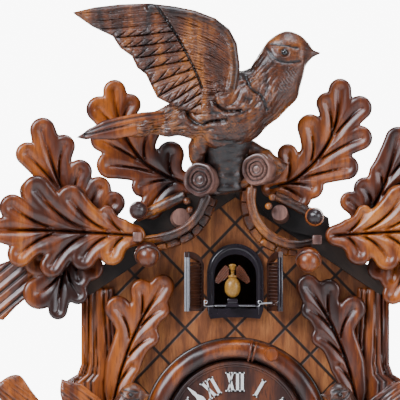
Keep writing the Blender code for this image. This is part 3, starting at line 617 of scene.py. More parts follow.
def carve_board(
    name: str, low: Point, high: Point, spacing: float, depth: Callable[[Array], Array], relief: Relief,
    back: float,
) -> bpy.types.Object:
    """A carved board: a fine grid cut to its outline, raised in front and flat behind.

    Args:
        name: the piece's name.
        low: the lowest corner of the area, x and z.
        high: its highest corner.
        spacing: the grid's cell.
        depth: how deep each point lies inside the outline.
        relief: the front's height over the back, the whole board's lift off its back plane, and the darkness
            of staining and painted shade, for points and their depths.
        back: y of the flat back.

    Returns:
        The board.
    """
    wide, tall = high[0] - low[0], high[1] - low[1]
    bm = bmesh.new()
    bmesh.ops.create_grid(bm, x_segments=round(wide / spacing), y_segments=round(tall / spacing), size=0.5)
    bmesh.ops.scale(bm, vec=(wide, tall, 1), verts=bm.verts)
    bmesh.ops.translate(bm, vec=((low[0] + high[0]) / 2, (low[1] + high[1]) / 2, 0), verts=bm.verts)
    layer = bm.verts.layers.float.new("stain_and_shade_mask")
    inside = depth(np.array([v.co.xy for v in bm.verts]))
    outer = [v for v, d in zip(list(bm.verts), inside) if d < -0.4 * spacing]
    bmesh.ops.delete(bm, geom=outer, context="VERTS")
    loose = [v for v in bm.verts if not v.link_faces]
    bmesh.ops.delete(bm, geom=loose, context="VERTS")
    rim = [v for v in bm.verts if v.is_boundary]
    places = np.array([v.co.xy for v in rim])
    probe = 0.05
    for _ in range(3):
        here = depth(places)
        slope = np.stack([depth(places + (probe, 0)) - here, depth(places + (0, probe)) - here], axis=1) / probe
        places = places - np.clip(here, -spacing, spacing)[:, None] * slope
    for vert, place in zip(rim, places):
        vert.co.xy = place
    borders = [edge for edge in bm.edges if edge.is_boundary]
    flat = bm.verts[:]
    copied = bmesh.ops.duplicate(bm, geom=flat + bm.edges[:] + bm.faces[:])["vert_map"]
    for edge in borders:
        first, second = edge.verts
        bm.faces.new((first, second, copied[second], copied[first]))
    front = [copied[vert] for vert in flat]
    for group, raised in ((front, True), (flat, False)):
        points = np.array([vert.co.xy for vert in group])
        heights, lifts, stain_and_shade_values = relief(points, depth(points))
        for vert, point, height, lift, stain_and_shade in zip(group, points, heights, lifts, stain_and_shade_values):
            y = back - lift - (height if raised else 0.0)
            vert.co = (point[0], y, point[1])
            vert[layer] = stain_and_shade if raised else 0.3
    return place_mesh(name, bm, 70.0)


def carve_outline(name: str, outline: Array, spacing: float, relief: Relief, back: float) -> bpy.types.Object:
    """A carved board cut to one closed outline.

    Args:
        name: the piece's name.
        outline: its outline's points, x and z.
        spacing: the grid's cell.
        relief: its front, as `carve_board` takes it.
        back: y of the flat back.

    Returns:
        The board.
    """
    low, high = outline.min(axis=0) - OUTLINE_MARGIN, outline.max(axis=0) + OUTLINE_MARGIN

    def depth(points: Array) -> Array:
        return polygon_depth(points, outline)

    return carve_board(name, tuple(low), tuple(high), spacing, depth, relief, back)


def sweep(
    name: str, path: Sequence[Sequence[float]], radii: Sequence[float], sides: int = 24, rings: int = 60,
    flatten: float = 1.0, rough: float = 0.0, blunt: float = 0.04, stain_and_shade: Callable[[Array], float] | None = None,
) -> bmesh.types.BMesh:
    """A round or oval bar along a curve, with rounded ends.

    Args:
        name: a seed for its unevenness.
        path: points of the curve through its middle.
        radii: its radius at evenly spaced places.
        sides: points round it.
        rings: points along it.
        flatten: its thickness front to back over its height.
        rough: how uneven the surface is, in millimetres.
        blunt: the share of its length that each rounded end takes.
        stain_and_shade: darkness of the staining and painted shade from the share along it and the angle round it.

    Returns:
        The shape in millimetres.
    """
    seed = sum(map(ord, name))
    bm = bmesh.new()
    bmesh.ops.create_uvsphere(bm, u_segments=sides, v_segments=rings, radius=1.0)
    layer = bm.verts.layers.float.new("stain_and_shade_mask")
    spine = smooth_path(path, rings * 2)
    swell = smooth_path([(r, 0.0) for r in radii], rings * 2)[:, 0]
    ahead = np.gradient(spine, axis=0)
    ahead /= np.linalg.norm(ahead, axis=1)[:, None]
    last = len(spine) - 1
    for vert in bm.verts:
        share = math.acos(max(-1.0, min(1.0, vert.co.z))) / math.pi
        angle = math.atan2(vert.co.y, vert.co.x)
        k = share * last
        low = min(int(k), last - 1)
        mid = spine[low] + (spine[low + 1] - spine[low]) * (k - low)
        radius = swell[low] + (swell[low + 1] - swell[low]) * (k - low)
        end = min(1.0, min(share, 1 - share) / blunt)
        radius *= math.sqrt(max(0.0, 1 - (1 - end) ** 2))
        forward = Vector(ahead[low])
        side = forward.cross(Vector((0, 1, 0)))
        side = side.normalized() if side.length > 1e-3 else Vector((1, 0, 0))
        front = side.cross(forward).normalized()
        point = Vector(mid)
        bump = rough * noise.noise(Vector((seed, 0, 0)) + point * 0.16) * 1.6 if rough else 0.0
        reach = radius + bump * end
        vert.co = point + side * (reach * math.cos(angle)) + front * (reach * flatten * math.sin(angle))
        vert[layer] = stain_and_shade(np.array([share, angle])) if stain_and_shade else 0.0
    return bm


def merge_shapes(shapes: Sequence[bmesh.types.BMesh]) -> bmesh.types.BMesh:
    """One bmesh holding several, which are freed."""
    whole = bmesh.new()
    whole.verts.layers.float.new("stain_and_shade_mask")
    for shape in shapes:
        carried = bpy.data.meshes.new("carried")
        shape.to_mesh(carried)
        shape.free()
        whole.from_mesh(carried)
        bpy.data.meshes.remove(carried)
    return whole


def block(low: Sequence[float], high: Sequence[float], bevel: float = 0.0) -> bmesh.types.BMesh:
    """A box between two corners, its edges bevelled."""
    bm = bmesh.new()
    bmesh.ops.create_cube(bm, size=1.0)
    bmesh.ops.scale(bm, vec=[b - a for a, b in zip(low, high)], verts=bm.verts)
    bmesh.ops.translate(bm, vec=[(a + b) / 2 for a, b in zip(low, high)], verts=bm.verts)
    if bevel:
        bmesh.ops.bevel(
            bm, geom=bm.edges[:], offset=bevel, affect="EDGES", segments=2, profile=0.5, material=-1
        )
    return bm


def turned(profile: Sequence[Point], sides: int = 64) -> bmesh.types.BMesh:
    """A turned shape about +Z from (radius, height) points, closed at the axis or on itself."""
    bm = bmesh.new()
    verts = [bm.verts.new((radius, 0, height)) for radius, height in profile]
    ring = min(radius for radius, _ in profile) > 0
    pairs = zip(verts, verts[1:] + verts[:1]) if ring else zip(verts, verts[1:])
    edges = [bm.edges.new(pair) for pair in pairs]
    bmesh.ops.spin(
        bm, geom=verts + edges, cent=(0, 0, 0), axis=(0, 0, 1), angle=math.tau, steps=sides, use_merge=True
    )
    bmesh.ops.remove_doubles(bm, verts=bm.verts, dist=1e-4)
    return bm


def face_front(bm: bmesh.types.BMesh, centre: Sequence[float]) -> bmesh.types.BMesh:
    """Turns a shape's +Z to face the front and moves its middle to `centre`."""
    bmesh.ops.rotate(bm, cent=(0, 0, 0), matrix=Matrix.Rotation(math.pi / 2, 3, "X"), verts=bm.verts)
    bmesh.ops.translate(bm, vec=centre, verts=bm.verts)
    return bm


# --------------------------------------------------------------------------- oak leaves


@dataclass(frozen=True)
class Lobe:
    """One lobe of an oak leaf: where its vein leaves the rib, where the lobe ends and how wide it is."""

    root: float
    tip: Point
    radius: float = 9.0


@dataclass(frozen=True)
class OakLeaf:
    """A carved oak leaf, its rib a curve from stem to tip."""

    name: str
    rib: tuple[Point, ...]
    lobes: tuple[Lobe, ...]
    node: str
    back: float = -140.0
    thick: float = 9.0
    tip_radius: float = 9.0
    waist: float = 14.5
    body: str = "case"
    curl: float = 3.0
    cup: float = 0.11

    SPACING = 0.85

    def flipped(self, name: str, node: str) -> "OakLeaf":
        """The same leaf on the clock's other side."""
        lobes = tuple(Lobe(lobe.root, (-lobe.tip[0], lobe.tip[1]), lobe.radius) for lobe in self.lobes)
        rib = tuple((-x, z) for x, z in self.rib)
        return OakLeaf(
            name, rib, lobes, node, self.back, self.thick, self.tip_radius, self.waist, self.body, self.curl,
            self.cup,
        )

    def veins(self) -> list[Array]:
        """The rib and then each lobe's vein, from where it leaves the rib to the middle of its round end."""
        rib = smooth_path(self.rib, 25)
        found = []
        for lobe in self.lobes:
            k = lobe.root * 24
            low = min(int(k), 23)
            start = rib[low] + (rib[low + 1] - rib[low]) * (k - low)
            ahead = (rib[low + 1] - rib[low]) / np.linalg.norm(rib[low + 1] - rib[low])
            end = np.array(lobe.tip)
            bend = start + ahead * np.linalg.norm(end - start) * 0.42
            inset = end - (end - bend) / np.linalg.norm(end - bend) * lobe.radius
            t = np.linspace(0, 1, 9)[:, None]
            found.append((1 - t) ** 2 * start + 2 * t * (1 - t) * bend + t**2 * inset)
        ahead = (rib[-1] - rib[-2]) / np.linalg.norm(rib[-1] - rib[-2])
        return [np.vstack([rib[:-3], rib[-1] - ahead * self.tip_radius]), *found]

    def make(self) -> bpy.types.Object:
        """Carves the leaf."""
        veins = self.veins()
        radii = [self.tip_radius, *(lobe.radius * 1.08 for lobe in self.lobes)]

        def trace(points: Array) -> list[tuple[Array, Array]]:
            return [path_distance(points, vein) for vein in veins]

        def blade(traces: list[tuple[Array, Array]]) -> Array:
            total = np.zeros(len(traces[0][0]))
            for index, ((gap, along), radius) in enumerate(zip(traces, radii)):
                if index == 0:
                    wide = np.array((0.3, 0.62, 0.95, 1.0, 0.9)) * self.waist
                    here = np.interp(along, (0.0, 0.1, 0.35, 0.7, 0.85, 1.0), (*wide, radius))
                else:
                    here = radius * (0.80 + 0.20 * along)
                total += np.exp((here - gap) / 0.8)
            return 0.8 * np.log(total + 1e-12)

        def depth(points: Array) -> Array:
            return blade(trace(points))

        def relief(points: Array, inside: Array) -> tuple[Array, Array, Array]:
            traces = trace(points)
            within = np.maximum(inside, 0)
            nearest = np.minimum.reduce([gap for gap, _ in traces])
            hill = 1 - np.exp(-((nearest / 3.6) ** 1.4))
            height = self.thick * (0.60 + 0.40 * hill)
            height *= (0.72 + 0.28 * (1 - np.exp(-within / 1.0))) * (1 - 0.20 * np.exp(-within / 5.0))
            # Painted shade darkens the rim, where the leaf drops to the board; the vein grooves below are darkened with
            # staining and painted shade.
            stain_and_shade = 0.38 * np.exp(-within / 1.1)
            for index, (gap, along) in enumerate(traces):
                if index == 0:
                    hold = np.clip(along / 0.04, 0, 1) * np.clip((0.97 - along) / 0.14, 0, 1)
                    deep, wide = 2.6, 0.85
                else:
                    hold = np.clip((along - 0.26) / 0.22, 0, 1) * np.clip((0.98 - along) / 0.3, 0, 1)
                    deep, wide = 2.0, 0.68
                height -= deep * hold * np.exp(-((gap / wide) ** 2))
                height += 0.55 * hold * np.exp(-(((gap - 2.1 * wide) / 0.7) ** 2))
                stain_and_shade += 1.15 * hold * np.exp(-((gap / wide) ** 2))
            rib_gap, along = traces[0]
            lift = self.curl * 2.0 * (along - 0.3) ** 2 + self.cup * rib_gap
            return np.maximum(height, 1.0), lift, np.clip(stain_and_shade, 0, 1)

        everything = np.vstack(veins)
        margin = max(*radii, self.waist) + 2
        low, high = everything.min(axis=0) - margin, everything.max(axis=0) + margin
        return carve_board(self.name, tuple(low), tuple(high), self.SPACING, depth, relief, self.back)


UPPER_LEFT = OakLeaf(
    "upper_left_leaf", ((-38, 193), (-59, 202), (-76, 215), (-90, 240), (-96, 275)),
    (
        Lobe(0.52, (-113, 259), 9.5), Lobe(0.30, (-112, 232), 8.5), Lobe(0.12, (-108, 209), 10.0),
        Lobe(0.02, (-80, 188), 8.0), Lobe(0.66, (-78, 262), 8.0), Lobe(0.32, (-64, 243), 8.5),
        Lobe(0.05, (-48.5, 226), 10.0), Lobe(0.0, (-70, 167), 9.0),
    ),
    "left_leaves",
)
OUTER_LEFT = OakLeaf(
    "outer_left_leaf", ((-96, 152), (-118, 168), (-137, 192), (-154, 245)),
    (
        Lobe(0.50, (-169, 223), 8.5), Lobe(0.56, (-132, 231), 8.5), Lobe(0.36, (-118, 211), 9.0),
        Lobe(0.18, (-102, 197), 9.0), Lobe(0.04, (-90, 185), 8.5), Lobe(0.25, (-168, 190), 9.0),
    ),
    "left_leaves", tip_radius=10.0,
)
LOWER_LEFT = OakLeaf(
    "lower_left_leaf", ((-104, 152), (-124, 142), (-135, 122), (-140, 87)),
    (
        Lobe(0.50, (-164, 102), 12.0), Lobe(0.22, (-165, 130), 11.0), Lobe(0.42, (-119, 101), 7.5),
        Lobe(0.05, (-110, 119), 9.0), Lobe(0.2, (-120, 111), 8.5),
    ),
    "left_leaves", tip_radius=7.5, waist=12.0,
)
FRONT_LEFT = OakLeaf(
    "front_left_leaf", ((-77, 153), (-110, 155), (-150, 157), (-194, 157)),
    (
        Lobe(0.02, (-103, 176), 5.5), Lobe(0.08, (-135, 190), 11.0), Lobe(0.24, (-162, 197), 11.0),
        Lobe(0.48, (-182, 181), 9.5), Lobe(0.02, (-100, 131), 9.5), Lobe(0.12, (-124, 128), 9.5),
        Lobe(0.28, (-148, 122), 9.0), Lobe(0.48, (-175, 132), 9.5),
    ),
    "left_front_leaf", back=-149.5, thick=12.0, tip_radius=10.0, waist=19.0, curl=5.0,
)
UPPER_RIGHT = OakLeaf(
    "upper_right_leaf", ((27, 190), (48, 198), (68, 218), (79, 242), (83, 276)),
    (
        Lobe(0.55, (69, 264), 8.0), Lobe(0.28, (56, 247), 9.5), Lobe(0.08, (39, 224), 7.5),
        Lobe(0.52, (104, 259), 9.0), Lobe(0.32, (106, 233), 9.0), Lobe(0.14, (96, 208), 9.0),
        Lobe(0.04, (68, 188), 9.0), Lobe(0.0, (56, 176), 8.0),
    ),
    "right_leaves",
)
OUTER_RIGHT = OakLeaf(
    "outer_right_leaf", ((92, 152), (106, 172), (118, 196), (130, 238)),
    (
        Lobe(0.50, (111, 210), 8.0), Lobe(0.30, (96, 196), 8.0), Lobe(0.12, (84, 184), 7.5),
        Lobe(0.55, (150, 226), 9.0), Lobe(0.35, (152, 202), 9.0), Lobe(0.18, (142, 184), 9.0),
    ),
    "right_leaves", tip_radius=10.0,
)
POST_LEFT = OakLeaf(
    "post_left_leaf", ((-96, 20), (-88, 52), (-74, 86), (-52, 121)),
    (
        Lobe(0.60, (-75, 118), 8.5), Lobe(0.42, (-98, 103), 9.5), Lobe(0.48, (-53, 99), 7.5),
        Lobe(0.26, (-61, 77), 7.5), Lobe(0.08, (-78, 54), 5.5),
    ),
    "left_post", back=-136.0, thick=9.0, tip_radius=9.5,
)


class Foliage:
    """All the oak leaves on the clock."""

    def __init__(self) -> None:
        """Lists the leaves of both sides."""
        left = [UPPER_LEFT, OUTER_LEFT, LOWER_LEFT, FRONT_LEFT, POST_LEFT]
        right = [
            UPPER_RIGHT, OUTER_RIGHT, LOWER_LEFT.flipped("lower_right_leaf", "right_leaves"),
            FRONT_LEFT.flipped("front_right_leaf", "right_front_leaf"),
            POST_LEFT.flipped("post_right_leaf", "right_post"),
        ]
        front = -136.5
        self.hanging = [
            OakLeaf(
                "hanging_middle_leaf", ((0, -84), (0, -110), (0, -140), (0, -174)),
                (
                    Lobe(0.05, (-26, -104), 8.0), Lobe(0.28, (-30, -128), 8.5), Lobe(0.5, (-22, -150), 7.5),
                    Lobe(0.05, (26, -104), 8.0), Lobe(0.28, (30, -128), 8.5), Lobe(0.5, (22, -150), 7.5),
                ),
                "bottom_carving", back=front - 5, thick=8.0, tip_radius=8.0, waist=10.0,
            )
        ]
        side = OakLeaf(
            "hanging_left_leaf", ((-12, -90), (-38, -108), (-60, -128), (-84, -157)),
            (
                Lobe(0.05, (-50, -92), 8.0), Lobe(0.3, (-78, -108), 8.5), Lobe(0.5, (-92, -130), 8.0),
                Lobe(0.1, (-26, -128), 8.0), Lobe(0.35, (-42, -146), 8.0), Lobe(0.55, (-62, -160), 7.5),
            ),
            "bottom_carving", back=front, thick=8.0, tip_radius=8.0, waist=10.0,
        )
        self.hanging += [side, side.flipped("hanging_right_leaf", "bottom_carving")]
        self.leaves = left + right + self.hanging

    def blade(self, side: float) -> bpy.types.Object:
        """The cut-off ribbed blade at the crown's end."""
        outline = np.array((
            (120, 148), (150, 143), (184, 131), (209, 119), (210, 100), (197, 88), (182, 86.5), (172, 97), (163, 104.6),
            (148, 116), (126, 130),
        )) * (-side, 1)

        def relief(points: Array, inside: Array) -> tuple[Array, Array, Array]:
            across = (np.abs(points[:, 0]) - 120) * 0.64 + (points[:, 1] - 140) * 0.77
            place = (across / 12.5 + 0.2) % 1.0
            ridge = np.exp(-(((place - 0.5) / 0.10) ** 2))
            height = 5.0 + 2.6 * np.abs(np.sin(math.pi * place)) ** 0.7 - 2.6 * ridge
            height *= 0.7 + 0.3 * (1 - np.exp(-np.maximum(inside, 0) / 1.5))
            # The grooves between the ribs are darkened: staining and painted shade.
            return height, 0.0 * across, np.clip(
                ridge + 0.7 * np.exp(-((np.minimum(place, 1 - place) / 0.06) ** 2)), 0, 1
            )

        word = "left" if side > 0 else "right"
        return carve_outline(f"{word}_end_blade", outline, 0.85, relief, -140.5)

    def build(self, paints: Paints) -> None:
        """Carves and finishes every leaf."""
        for side, word in ((1.0, "left"), (-1.0, "right")):
            finish_piece(self.blade(side), paints, CARVED, f"{word}_leaves", "case")
        for leaf in self.leaves:
            piece = leaf.make()
            # Painted light: the front leaves get the brighter walnut, a lit copy of the carved walnut.
            finish = WARM if leaf.name.startswith("front") else CARVED
            finish_piece(piece, paints, finish, leaf.node, leaf.body)


def finish_piece(
    piece: bpy.types.Object, paints: Paints, finish: WoodFinish | PlainFinish, node: str | None, body: str
) -> None:
    """Paints a piece, sets it on its body and lets it stand for a solid.

    Args:
        piece: the piece.
        paints: the finishes.
        finish: what it is finished in.
        node: the frame's solid that it stands for, or None.
        body: the body that carries it.
    """
    piece.data.materials.clear()
    piece.data.materials.append(paints.of(finish))
    if node:
        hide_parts(node)
    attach(piece, body)
    log.info("%s: %d faces", piece.name, len(piece.data.polygons))


# --------------------------------------------------------------------------- birds


BODY = (
    ((66.4, 295.9), (66.4, 295.1), 0.4), ((60.5, 298.6), (59.7, 291.6), 3.0), (
        (57.0, 303.6), (55.0, 285.3), 6.5
    ),
    ((50.3, 309.8), (53.2, 278.2), 10.5), ((38.5, 312.6), (50.6, 268.8), 13.0), (
        (25.5, 305.3), (47.9, 259.4), 15.0
    ),
    ((15.8, 291.0), (37.7, 249.1), 19.0), ((7.9, 283.0), (25.9, 237.4), 23.0), (
        (-2.4, 281.4), (13.4, 226.4), 25.0
    ),
    ((-15.7, 279.0), (-2.4, 220.0), 24.0), ((-29.1, 273.5), (-18.1, 221.7), 20.0), (
        (-43.2, 263.3), (-33.8, 227.9), 14.0
    ),
    (
        (-55.0, 253.0), (-49.5, 230.3), 10.0
    ), ((-66.8, 248.4), (-62.9, 231.1), 8.5), ((-82.5, 245.2), (-80.2, 229.5), 7.0),
    ((-102.2, 239.7), (-100.6, 228.7), 5.0), ((-117.9, 233.4), (-115.5, 228.0), 3.0), (
        (-124.2, 229.9), (-124.2, 229.1), 0.4
    ),
)
WING = (
    (1.6, 262.0), (3.5, 285.0), (1.2, 303.0), (-4.7, 314.0), (-15.7, 322.5), (-31.4, 328.5), (-47.2, 331.7),
    (-66.8, 334.1), (-90.4, 333.3), (-110.0, 331.0), (-127.0, 327.0), (-112.0, 316.5), (-96.0, 308.9), (-90.4, 300.0),
    (-81.0, 293.2), (-77.0, 284.5), (-70.0, 279.0), (-65.2, 268.8), (-61.3, 261.0), (-44.0, 252.0), (-22.0, 246.0),
)
BIRD_MIDDLE = (-2.0, 255.0)
BIRD_Y = -172.0


@dataclass(frozen=True)
class Bird:
    """A carved bird with a raised wing."""

    name: str
    place: tuple[float, float, float]
    node: str
    scale: float = 1.0
    mirror: float = 1.0
    wing_node: str | None = None
    detail: int = 1

    NEAR = (
        (-136, 41), (-130, 39), (-121, 37), (-113, 31), (-104, 24), (-96, 14), (-90, 4), (-92, -8), (-104, -14),
        (-116, -6), (-126, 6), (-133, 18), (-137, 30),
    )
    FAR = (
        (-185, 38), (-178, 42.5), (-172, 44), (-167, 42), (-160, 32), (-152, 22), (-140, 8), (-128, -4),
        (-138, -18), (-150, -14), (-165, 2), (-178, 18), (-188, 30),
    )

    def _seat(self, bm: bmesh.types.BMesh) -> None:
        """Moves a shape from the crown bird's own place to this bird's."""
        middle = Vector((BIRD_MIDDLE[0], BIRD_Y, BIRD_MIDDLE[1]))
        bmesh.ops.translate(bm, vec=-middle, verts=bm.verts)
        bmesh.ops.scale(bm, vec=[self.scale] * 3, verts=bm.verts)
        if self.mirror < 0:
            bmesh.ops.scale(bm, vec=(-1, 1, 1), verts=bm.verts)
            bmesh.ops.reverse_faces(bm, faces=bm.faces)
        bmesh.ops.translate(bm, vec=self.place, verts=bm.verts)

    def body_shape(self) -> bmesh.types.BMesh:
        """The body, cut over with short feather gouges."""
        bm = bmesh.new()
        bmesh.ops.create_uvsphere(bm, u_segments=180 // self.detail, v_segments=300 // self.detail, radius=1.0)
        layer = bm.verts.layers.float.new("stain_and_shade_mask")
        count = 400
        skin = smooth_path([(*upper, *lower, half) for upper, lower, half in BODY], count)
        steps = np.hypot(*np.diff((skin[:, :2] + skin[:, 2:4]) / 2, axis=0).T)
        lengths = np.concatenate([[0], np.cumsum(steps)])
        even = np.linspace(0, lengths[-1], count)
        skin = np.stack([np.interp(even, lengths, skin[:, k]) for k in range(5)], axis=1)
        ball = np.array([vert.co for vert in bm.verts])
        share = np.arccos(np.clip(ball[:, 2], -1, 1)) / math.pi
        angle = np.arctan2(ball[:, 1], ball[:, 0])
        ux, uz, lx, lz, half = (np.interp(share * (count - 1), np.arange(count), skin[:, k]) for k in range(5))
        half = np.maximum(half, 0.05)
        middle = np.stack([(ux + lx) / 2, np.full(len(ux), BIRD_Y), (uz + lz) / 2], axis=1)
        out = np.stack(
            [(ux - lx) / 2 * np.cos(angle), half * np.sin(angle), (uz - lz) / 2 * np.cos(angle)], axis=1
        )
        point = middle + out
        cut, dark = self._plumage(point, share * lengths[-1], angle)
        reach = np.linalg.norm(out, axis=1)[:, None]
        point -= out / np.maximum(reach, 0.3) * np.minimum(cut[:, None], reach * 0.6)
        for vert, place, stain_and_shade in zip(bm.verts, point, dark):
            vert.co = place
            vert[layer] = stain_and_shade
        return bm

    @staticmethod
    def _plumage(point: Array, along: Array, angle: Array) -> tuple[Array, Array]:
        """How deep the gouges go on the body, and how dark they are, with staining and painted shade.

        Args:
            point: places on the body.
            along: how far each lies from the beak's tip.
            angle: how far round the body it lies, 0 at the back.

        Returns:
            The cut below the smooth body, and the darkness of staining and painted shade from 0 to 1.
        """
        x, z = point[:, 0], point[:, 2]
        warp = 5.0 * np.sin(along * 0.09 + 2.0 * np.sin(angle * 2.3)) + 3.0 * np.sin(angle * 5.1 + along * 0.05)
        sweep_out = angle * 17.0 + 0.35 * warp
        coarse, coarse_dark = gouges(sweep_out, along + warp, 4.2, 15.0)
        fine, fine_dark = gouges(sweep_out * 1.07 + 0.20 * along, along * 0.9 - warp, 2.1, 8.0)
        calm = np.clip((along - 34.0) / 22.0, 0.10, 1)
        tail = np.clip((along - 150.0) / 14.0, 0, 1)
        cut = (1.9 * coarse + 0.9 * fine) * calm * (1 - 0.8 * tail)
        dark = (0.9 * coarse_dark + 0.7 * fine_dark) * calm * (1 - 0.7 * tail)
        stipple = np.sin(x * 2.3 + 0.8 * np.sin(z)) * np.sin(z * 2.3 + 0.8 * np.sin(x))
        for (at_x, at_z), wide in (
            ((38, 269), 6.0), (((25, 250)), 8.0), ((44, 281), 5.0), ((0, 236), 9.0), ((-8, 246), 5.0)
        ):
            patch = np.exp(-(((x - at_x) ** 2 + (z - at_z) ** 2) / wide**2) ** 2)
            cut = cut * (1 - 0.7 * patch) + 0.7 * patch * (stipple > 0)
            dark = dark * (1 - 0.6 * patch) + 0.5 * patch * (stipple > 0.2)
        swell = np.sin(x * 0.16 + 1.1) * np.sin(z * 0.19) + 0.6 * np.sin(x * 0.31 - z * 0.22)
        cut -= 1.4 * swell * calm
        side = np.clip(-(point[:, 1] - BIRD_Y) / 6.0, 0, 1)
        for line, deep in (
            (((-20.7, 268.0), (-18.0, 259.5), (-13.3, 253.4), (-5.8, 250.0), (4.0, 250.5)), 2.6),
            (((-33.0, 262.0), (-37.3, 250.0), (-34.3, 243.2), (-25.5, 239.2), (-8.0, 243.0)), 2.4),
            (((8.0, 277.0), (12.0, 268.0), (20.0, 262.0), (24.0, 252.0)), 1.6),
            (((24.0, 300.0), (31.0, 291.0), (40.0, 288.0), (50.0, 289.0)), 0.9),
            (((28.0, 303.0), (38.0, 301.5), (48.0, 299.5)), 0.8),
        ):
            gap, _ = path_distance(np.stack([x, z], axis=1), smooth_path(line, 24))
            cut += deep * side * (np.exp(-((gap / 1.1) ** 2)) - 0.45 * np.exp(-(((gap - 3.2) / 1.8) ** 2)))
            dark += 0.9 * side * np.exp(-((gap / 1.1) ** 2))
        gap = np.hypot(x - 38.2, z - 296.0)
        cut += 0.8 * np.exp(-(((gap - 3.0) / 0.9) ** 2)) - 0.3 * np.exp(-(((gap - 4.8) / 1.0) ** 2))
        dark += 0.5 * np.exp(-(((gap - 2.9) / 0.9) ** 2))
        return cut, np.clip(dark, 0, 1)

    def wing(self, back: float, thick: float) -> bpy.types.Object:
        """The raised wing: long quills, barbed quills, coverts and a round leading edge."""
        outline = np.array(WING)
        divider = smooth_path(
            ((-64.4, 336.0), (-51.0, 317.0), (-43.0, 304.0), (-32.0, 283.0), (-26.0, 268.0)), 30
        )
        leading = smooth_path(
            ((-66.0, 331.5), (-31.0, 325.5), (-14.0, 318.0), (-3.0, 305.0), (0.0, 285.0), (-3.0, 268.0)), 30
        )

        def relief(points: Array, inside: Array) -> tuple[Array, Array, Array]:
            x, z = points[:, 0], points[:, 1]
            root = z.copy()
            for _ in range(5):
                slope = np.interp(
                    root, (266, 274, 280, 288, 300, 314, 336), (0.62, 0.40, 0.29, 0.12, 0.055, 0.05, 0.11)
                )
                root = z + (-38.0 - x) * slope
            quills = np.clip((np.interp(z, divider[::-1, 1], divider[::-1, 0]) - x) / 1.2, 0, 1)
            row = root / 8.0 + 0.20 * np.sin(x * 0.05)
            saw = row % 1.0
            lower = np.clip((318.0 - root) / 5.0, 0, 1)
            barb = (
                (x - 14.0 * saw + 5.0 * np.sin(np.floor(row) * 2.4))
                / (10.0 + 2.5 * np.sin(np.floor(row) * 5.1))
            ) % 1.0
            slash = np.exp(-((np.minimum(barb, 1 - barb) / (0.15 * (0.78 - np.minimum(saw, 0.7)))) ** 2))
            slash *= np.clip((0.66 - saw) * 4, 0, 1) * lower
            seam = np.exp(-((saw / 0.07) ** 2)) + np.exp(-(((1 - saw) / 0.06) ** 2))
            long_cut, long_dark = gouges(root, x, 1.9, 24.0)
            quill_height = 2.6 * (1 - saw) ** 0.7 * (0.4 + 0.6 * lower) - 1.0 * seam * (0.35 + 0.65 * lower)
            quill_height -= 1.8 * slash + 0.9 * long_cut * (1 - 0.5 * lower)
            shoulder = points - np.array((2.0, 262.0))
            turn = np.degrees(np.arctan2(shoulder[:, 1], -shoulder[:, 0]))
            reach = np.hypot(*shoulder.T)
            cut, cut_dark = gouges(turn * (0.3 + reach * 0.013), reach + 6 * np.sin(turn * 0.09), 2.5, 15.0)
            covert_height = 2.4 - 1.9 * cut + 0.8 * np.sin(reach * 0.13 + turn * 0.05)
            height = thick * 0.5 + quills * quill_height + (1 - quills) * covert_height
            gap, _ = path_distance(points, leading)
            edge = np.exp(-((gap / 3.6) ** 4))
            height = height * (1 - edge) + (thick * 0.5 + 3.4) * edge
            split, _ = path_distance(points, divider)
            seam_line = np.exp(-((split / 0.9) ** 2)) * (z > 262)
            height -= 2.4 * seam_line
            height *= 1 - 0.5 * np.exp(-np.maximum(inside, 0) / 1.4)
            # The seams, slashes and cuts are darkened with staining and painted shade; the leading edge is darker too.
            stain_and_shade = quills * (
                0.45 * seam * (0.3 + 0.7 * lower) + 0.85 * slash + 0.7 * long_dark * (1 - 0.7 * lower)
            )
            stain_and_shade += (1 - quills) * (1 - edge) * 0.9 * cut_dark + seam_line + 0.5 * edge
            return np.maximum(height, 0.8), 0.0 * x, np.clip(stain_and_shade, 0, 1)

        return carve_outline(f"{self.name}_wing", outline, 0.55 * self.detail, relief, back)

    def tail(self) -> bpy.types.Object:
        """Two long smooth tail feathers with a ridge between."""
        outline = np.array((
            (-56.0, 250.5), (-72.8, 249.3), (-90.4, 245.9), (-103.9, 242.6), (-116.1, 234.8), (-124.3, 229.7),
            (-110.7, 228.1), (-94.5, 228.3), (-79.6, 231.1), (-60.6, 238.5), (-52.0, 243.0),
        ))
        ridge = smooth_path(((-50.0, 245.0), (-72.0, 241.5), (-96.0, 236.5), (-118.0, 231.0)), 24)
        upper = smooth_path(((-50.0, 249.0), (-76.0, 245.5), (-98.0, 240.5), (-118.0, 232.5)), 24)

        def relief(points: Array, inside: Array) -> tuple[Array, Array, Array]:
            height = 5.0 + 2.0 * (1 - np.exp(-np.maximum(inside, 0) / 2.2))
            # Darker at the outline and in the two grooves: staining and painted shade.
            stain_and_shade = 0.3 * np.exp(-np.maximum(inside, 0) / 1.0)
            for line, deep in ((ridge, 1.6), (upper, 0.9)):
                gap, _ = path_distance(points, line)
                height -= deep * np.exp(-((gap / 0.9) ** 2))
                stain_and_shade += 0.9 * np.exp(-((gap / 0.9) ** 2))
            return height, 0.0 * inside, np.clip(stain_and_shade, 0, 1)

        return carve_outline(f"{self.name}_tail", outline, 0.7 * self.detail, relief, BIRD_Y - 1.0)

    def ribbed_wing(self, word: str, shape: Sequence[Point], slope: float, back: float) -> bpy.types.Object:
        """A small bird's wing, its quills cut as long ribs.

        Args:
            word: which wing.
            shape: its outline on the left bird.
            slope: the quills' direction in degrees below the level.
            back: y of its back.

        Returns:
            The wing.
        """
        outline = smooth_path((*shape, shape[0]), 60)[:-1] * (self.mirror, 1)
        run, rise = math.cos(math.radians(slope)), math.sin(math.radians(slope))

